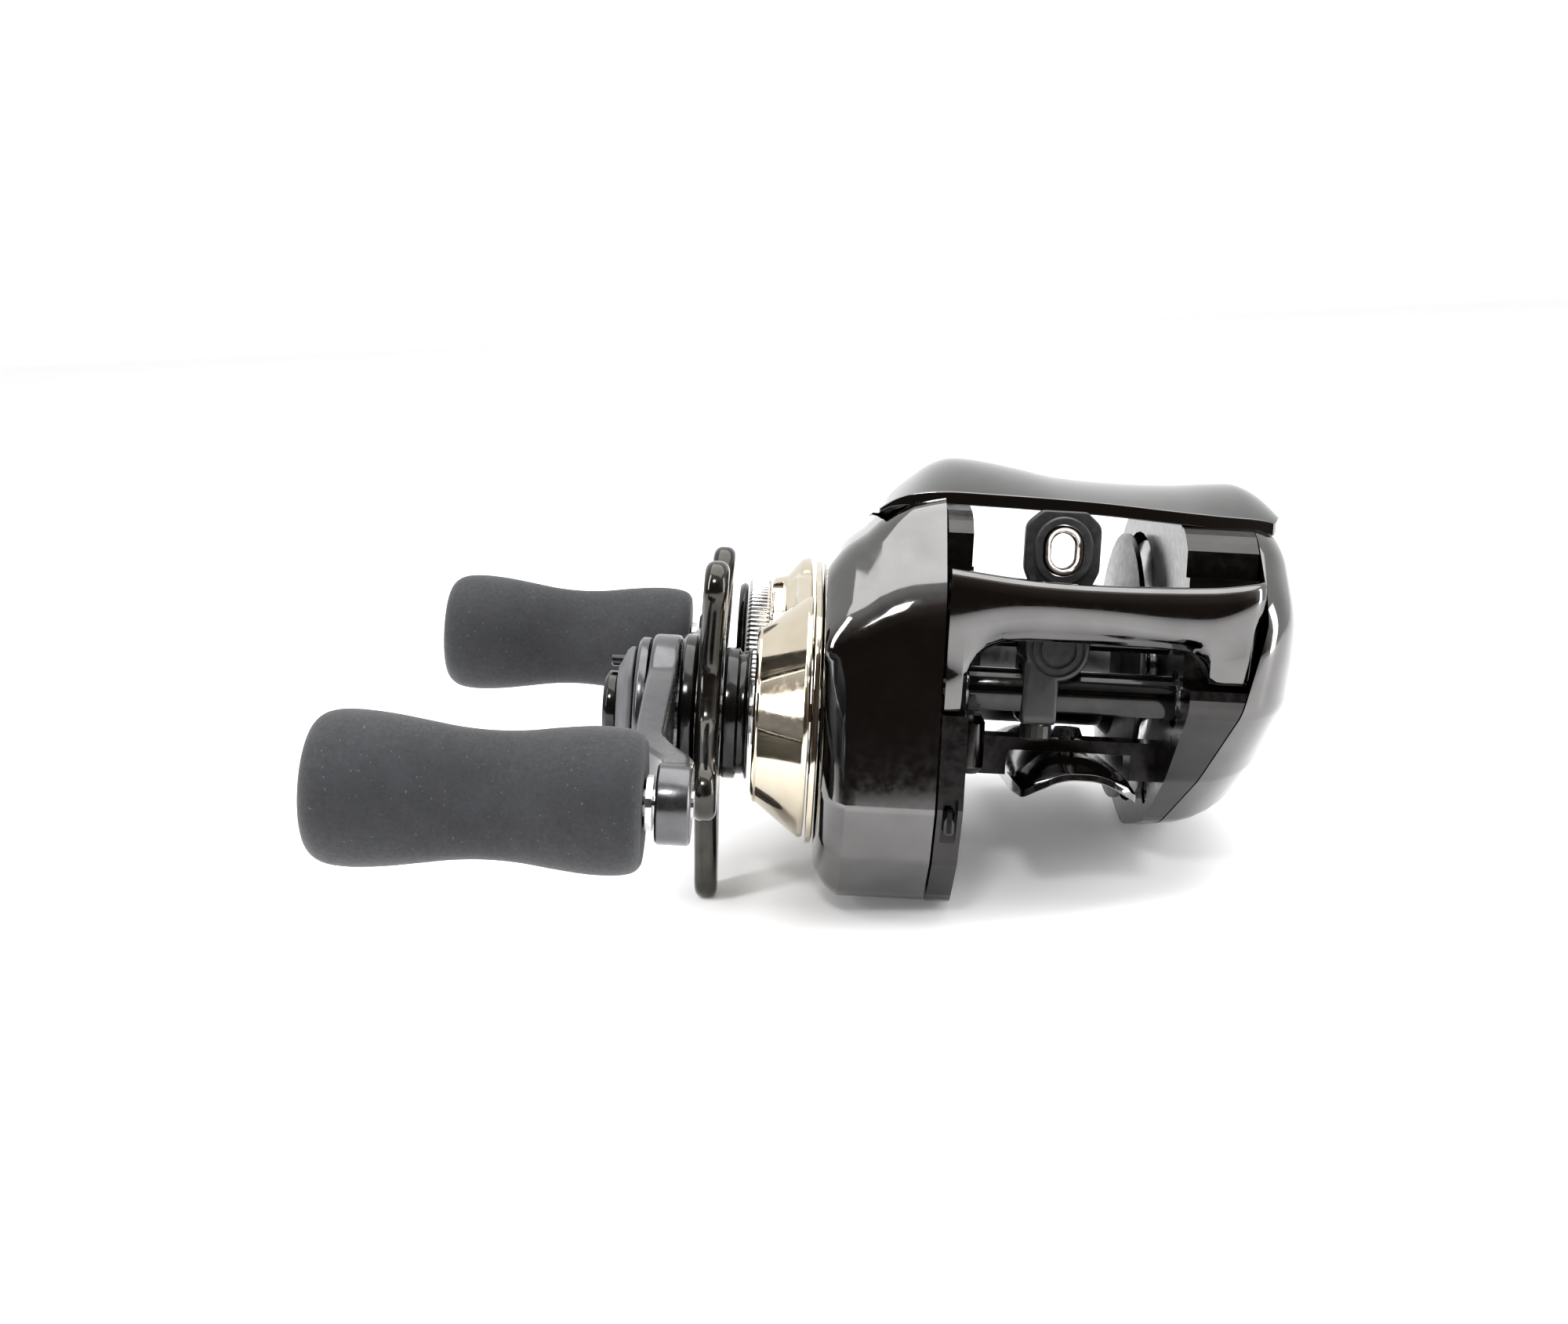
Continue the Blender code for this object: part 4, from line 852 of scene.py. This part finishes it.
def make_knob(side, name):
    """A soft grip, pinched at its waist, with a hollow for the thumb and a recessed end cap."""
    axis = knob_centre(side)
    inner, outer = high(name + "_knob")[0], low(name + "_knob")[0]
    length = inner - outer
    shape = [(0.0, 6.6), (0.012, 7.2), (0.035, 7.6), (0.08, 7.85), (0.16, 7.85), (0.26, 7.5), (0.36, 7.05),
             (0.46, 6.9), (0.56, 7.1), (0.66, 7.6), (0.76, 8.1), (0.85, 8.35), (0.91, 8.3), (0.95, 8.0),
             (0.975, 7.5), (0.992, 6.8), (1.0, 6.1)]
    mouth = [(5.2, 1.0), (4.6, 0.985), (4.2, 0.96), (4.2, 0.93)]
    thumb = math.radians(18)
    rows = []
    for k in range(73):
        t = 0.5 - 0.5 * math.cos(math.pi * k / 72)
        radius = curve(shape, t)
        row = []
        for angle in angles(72):
            around = (math.cos(angle + thumb) ** 2) ** 1.2
            dent = 1.9 * math.exp(-((t - 0.50) / 0.18) ** 2) * around
            pinch = 1 - 0.05 * math.exp(-((t - 0.5) / 0.3) ** 2) * math.cos(angle) ** 2
            r = radius * pinch - dent
            row.append((inner - t * length, axis[0] + r * math.cos(angle), axis[1] + r * math.sin(angle)))
        rows.append(row)
    rows += rings_about([(r, inner - t * length) for r, t in mouth], axis, 72)
    knob = loft(name + "_grip_skin", rows, "rubber", sharp=60)
    cut(knob, bore(outer + 2.5, inner + 1, 2.6, axis), sharp=45)
    seat(knob, name + "_grip", "rubber", name + "_knob")
    spun(name + "_cap_skin", [
        (0, outer + 2.2), (3.9, outer + 2.2), (3.9, outer + 0.9), (3.5, outer + 0.5), (0, outer + 0.2),
    ], axis, "black", name + "_grip", "black", name + "_knob_cap", steps=48, round_by=0.2)


# ---------------------------------------------------------------- spool and line guide

def make_spool():
    """The spool's turned body and the plate behind its left flange."""
    lathe("spool_skin", [
        (1.7, 9.6), (6.0, 9.6), (6.5, 8.7), (16.4, 8.7), (17.0, 9.7), (18.0, 9.6), (18.0, 8.9), (9.6, 7.9),
        (8.4, 6.7), (8.4, -10.4), (9.6, -11.6), (18.0, -13.1), (18.0, -13.9), (17.0, -14.0), (16.4, -12.9),
        (7.6, -11.9), (7.2, -9.0), (4.2, -9.0), (4.2, -12.0), (1.7, -12.0),
    ], SPOOL, "spool_grey", "spool_body", "black", "spool", steps=128, round_by=0.15)
    lathe("brake_plate_skin", [
        (3.8, 16.0), (17.9, 16.0), (17.9, 13.0), (17.2, 11.9), (8.8, 11.9), (8.8, 14.6), (5.4, 14.6),
        (5.4, 12.2), (3.8, 12.2),
    ], SPOOL, "black", "body", "black", "brake_side_plate", steps=96, round_by=0.15)


def oval(half_width, half_height, steps=48):
    """A round-ended slot shape about the guide's eye."""
    straight = half_height - half_width
    points = []
    for angle in angles(steps):
        rise = straight if math.sin(angle) >= 0 else -straight
        points.append((GUIDE_X + half_width * math.cos(angle),
                       RING_Z + rise + half_width * math.sin(angle)))
    return points


def make_line_guide():
    """The guide: a round-footed block on the worm, an upright plate with the eye, and its ring."""
    material, boss_radius = "guide_plastic", 3.9
    outline = []
    for k in range(25):
        angle = math.pi * (1 + k / 24)
        outline.append((GUIDE_X + boss_radius * math.cos(angle), BOSS_Z + boss_radius * math.sin(angle)))
    outline += [(GUIDE_X + boss_radius, 18.0), (GUIDE_X - boss_radius, 18.0)]
    body = slab("line_guide_skin", outline, 1, -28.0, -18.6, 0.5, material)
    saddle = fillet([(-28.0, 6.4, 1.2), (-28.0, 14.5, 0.8), (-18.6, 14.5, 0.8), (-18.6, 6.4, 1.2)], 4)
    cut(body, slab("saddle", saddle, 0, GUIDE_X - 3.8, GUIDE_X + 0.4, 0.5, material), "UNION")
    for outer, inner in ((3.3, 2.9), (2.3, 1.9)):
        cut(body, hoop(outer, inner, -28.3, -27.6, (GUIDE_X, BOSS_Z)))
    plate = fillet([
        (GUIDE_X - 2.9, 15.0, 0.3), (GUIDE_X - 2.9, 21.5, 2.0), (GUIDE_X - 4.45, 25.0, 2.0),
        (GUIDE_X - 4.45, 30.4, 1.8), (GUIDE_X - 2.6, 32.0, 1.0), (GUIDE_X + 2.6, 32.0, 1.0),
        (GUIDE_X + 4.45, 30.4, 1.8), (GUIDE_X + 4.45, 25.0, 2.0), (GUIDE_X + 2.9, 21.5, 2.0),
        (GUIDE_X + 2.9, 15.0, 0.3),
    ], 6)
    cut(body, slab("plate", plate, 1, GUIDE_Y - 1.2, GUIDE_Y + 1.2, 0.35, material), "UNION")
    cut(body, slab("lip", oval(3.5, 4.1), 1, GUIDE_Y - 1.8, GUIDE_Y + 0.5, 0.5, material), "UNION")
    cut(body, slab("eye", oval(2.5, 3.1), 1, GUIDE_Y - 3.0, GUIDE_Y + 3.0, 0.0, material))
    for radius, centre in ((3.42, WORM), (1.2, ROD)):
        cut(body, bore(-30, 30, radius, centre))
    seat(body, "guide", material, "line_guide")
    profile = [(0.9, -1.5), (0.55, -1.9), (0.2, -1.9), (0.0, -1.5), (0.0, 1.5), (0.2, 1.9), (0.55, 1.9),
               (0.9, 1.5), (0.95, 0.0)]
    rows = [[(x, GUIDE_Y + y, z) for x, z in oval(2.4 - depth, 3.0 - depth)] for depth, y in profile]
    faces = rings_to_faces(len(rows), len(rows[0]), loop=True)
    new_piece("ring_skin", flat(rows), faces, "titanium", "guide", "silver", "guide_ring", sharp=60)


def make_worm():
    """The level-wind shaft with its two crossed grooves."""
    first, last, pitch, depth = -12.5, 9.5, 5.5, 0.55

    def groove(radius, x, angle):
        if radius < 2.05 or not first < x < last:
            return radius
        turn = (x - first) / pitch * 2 * math.pi
        near = max(math.cos(angle - turn), math.cos(angle + turn))
        return radius - depth * step((near - 0.82) / 0.12)
    places = [(2.1, 11.2)] + [(2.1, 11.2 - 0.15 * k) for k in range(1, 170)] + [(2.1, -14.2)]
    outline = [(0, 14.2), (1.4, 14.2), (1.4, 11.2)] + places + [(1.4, -14.2), (1.4, -21.6), (0, -21.6)]
    spun("worm_skin", outline, WORM, "steel", "worm", "steel", "worm_shaft", round_by=0.0, ripple=groove)


def make_worm_tube():
    """The guard around the worm: a thin tube with a thick and a thin bead along its front."""
    def beads(radius, x, angle):
        if radius < 3.0:
            return radius
        below = math.degrees(angle) - 180.0
        thick = step((below + 7.0) / 4.0) * (1 - step((below - 42.0) / 6.0))
        thin = step((below + 38.0) / 5.0) * (1 - step((below + 14.0) / 4.0))
        return radius * (0.83 + 0.17 * max(thick, thin))
    profile = [(2.5, 10.6), (3.3, 10.6), (3.3, -14.1), (2.5, -14.1)]
    tube = lathe("tube_skin", profile, WORM, "black", None, None, steps=144, ripple=beads)
    front, back = WORM[0] - 1.4, WORM[0] + 1.4
    mouth = [(front, 4.0), (back, 4.0), (back, 8.8), (front, 8.8)]
    cut(tube, slab("mouth", mouth, 0, -12.6, 9.6, 0.0, "black"))
    seat(tube, "body", "black", "worm_tube")


make_gear_side()
make_palm_side()
make_hood()
make_nose()
make_pillar()
make_foot()
make_gold_side()
make_cast_control()
make_star()
make_arm()
make_hub_rings()
make_spool()
make_line_guide()
make_worm()
make_worm_tube()
make_knob(-1, "front")
make_knob(1, "rear")

# ---------------------------------------------------------------- camera, floor and light

def resting_plane():
    """The table touches the gear side, the star's lowest spoke and the palm side."""
    gear = Vector((-20.5, -12.0, low("gear_side_cover")[2]))
    star = Vector(((low("star_drag")[0] + high("star_drag")[0]) / 2, DRIVE[0], low("star_drag")[2]))
    palm = Vector((20.0, 7.0, low("palm_side_cover")[2]))
    normal = (star - gear).cross(palm - gear).normalized()
    if normal.z < 0:
        normal = -normal
    return gear, normal


def make_floor():
    """A white table top, tilted so that the three resting points touch it."""
    point, normal = resting_plane()
    half = 900 * MM
    mesh = bpy.data.meshes.new("table")
    turn = Vector((0, 0, 1)).rotation_difference(normal).to_matrix().to_4x4()
    corners = [(-half, -half, 0), (half, -half, 0), (half, half, 0), (-half, half, 0)]
    place = Matrix.Translation(point * MM) @ turn
    mesh.from_pydata([tuple(place @ Vector(c)) for c in corners], [], [(0, 1, 2, 3)])
    table = bpy.data.objects.new("table", mesh)
    bpy.context.scene.collection.objects.link(table)
    material, _, shader = nodes_of("white_table")
    shader.inputs["Base Color"].default_value = (0.93, 0.93, 0.94, 1)
    shader.inputs["Roughness"].default_value = 0.6
    shader.inputs["Emission Color"].default_value = (1, 1, 1, 1)
    shader.inputs["Emission Strength"].default_value = 0.12
    mesh.materials.append(material)


# The camera looks along +Y from the front, down by CAMERA_PITCH degrees
CAMERA_AT = (-36.3, -255.0, 32.3)
CAMERA_PITCH = 5.0
CAMERA_ROLL = 3.0
LENS = 44.1


def make_camera():
    data = bpy.data.cameras.new("camera")
    data.lens = LENS
    data.sensor_width = 36.0
    data.clip_start = 0.01
    camera = bpy.data.objects.new("camera", data)
    bpy.context.scene.collection.objects.link(camera)
    camera.location = [c * MM for c in CAMERA_AT]
    look = Euler((math.radians(90 - CAMERA_PITCH), 0, 0)).to_matrix()
    roll = Matrix.Rotation(math.radians(CAMERA_ROLL), 3, "Z")
    camera.rotation_euler = (look @ roll).to_euler()
    bpy.context.scene.camera = camera


def area_light(name, at, aim, size, watts):
    data = bpy.data.lights.new(name, "AREA")
    data.shape = "RECTANGLE"
    data.size, data.size_y = size[0] * MM, size[1] * MM
    data.energy = watts
    lamp = bpy.data.objects.new(name, data)
    bpy.context.scene.collection.objects.link(lamp)
    lamp.location = [c * MM for c in at]
    direction = (Vector(aim) - Vector(at)).normalized()
    lamp.rotation_euler = direction.to_track_quat("-Z", "Y").to_euler()


def make_studio():
    """A white tent over, behind and to the right of the reel, and a dim brown room in front."""
    world = bpy.data.worlds.new("tent")
    world.use_nodes = True
    tree = world.node_tree
    back = tree.nodes["Background"]
    where = tree.nodes.new("ShaderNodeTexCoord")
    toward = tree.nodes.new("ShaderNodeVectorMath")
    toward.operation = "DOT_PRODUCT"
    toward.inputs[1].default_value = (0.38, 1.0, 0.62)
    tree.links.new(where.outputs["Generated"], toward.inputs[0])
    patches = tree.nodes.new("ShaderNodeTexNoise")
    patches.inputs["Scale"].default_value = 2.2
    patches.inputs["Detail"].default_value = 2.0
    tree.links.new(where.outputs["Generated"], patches.inputs["Vector"])
    mixed = tree.nodes.new("ShaderNodeMath")
    mixed.operation = "MULTIPLY_ADD"
    mixed.inputs[1].default_value = 0.55
    tree.links.new(patches.outputs["Fac"], mixed.inputs[0])
    tree.links.new(toward.outputs["Value"], mixed.inputs[2])
    spread = tree.nodes.new("ShaderNodeMapRange")
    spread.inputs["From Min"].default_value = -0.60
    spread.inputs["From Max"].default_value = 0.50
    tree.links.new(mixed.outputs[0], spread.inputs["Value"])
    shades = tree.nodes.new("ShaderNodeValToRGB")
    ramp_stops = shades.color_ramp.elements
    ramp_stops[0].position = 0.0
    ramp_stops[0].color = (0.045, 0.034, 0.030, 1)
    ramp_stops[1].position = 1.0
    ramp_stops[1].color = (1.0, 1.0, 1.0, 1)
    middle = ramp_stops.new(0.35)
    middle.color = (0.16, 0.13, 0.11, 1)
    tree.links.new(spread.outputs["Result"], shades.inputs["Fac"])
    tree.links.new(shades.outputs["Color"], back.inputs["Color"])
    back.inputs["Strength"].default_value = 1.1
    bpy.context.scene.world = world
    area_light("top_panel", (-20, -20, 420), (-10, 0, 0), (520, 420), 2.0)
    area_light("left_strip", (-330, -190, 190), (-20, -10, 8), (80, 360), 1.3)
    area_light("right_strip", (300, -150, 120), (10, 0, 8), (90, 320), 1.0)
    area_light("front_lamp", (-120, -420, 330), (-10, 0, 8), (70, 70), 0.7)
    view = bpy.context.scene.view_settings
    view.view_transform = "Standard"
    view.exposure = 0.0


make_camera()
make_floor()
make_studio()

# CAD pieces that stay in view and look unlike the rest of their slot
SPECIAL = {"frame": "frame_black", "retainer_screw": "black", "guide_rod": "black",
           "pawl_cap": "guide_plastic"}
for node, obj in frame["nodes"].items():
    obj.data.materials.clear()
    obj.data.materials.append(FINISH[SPECIAL.get(node, SLOT_OF[node])])
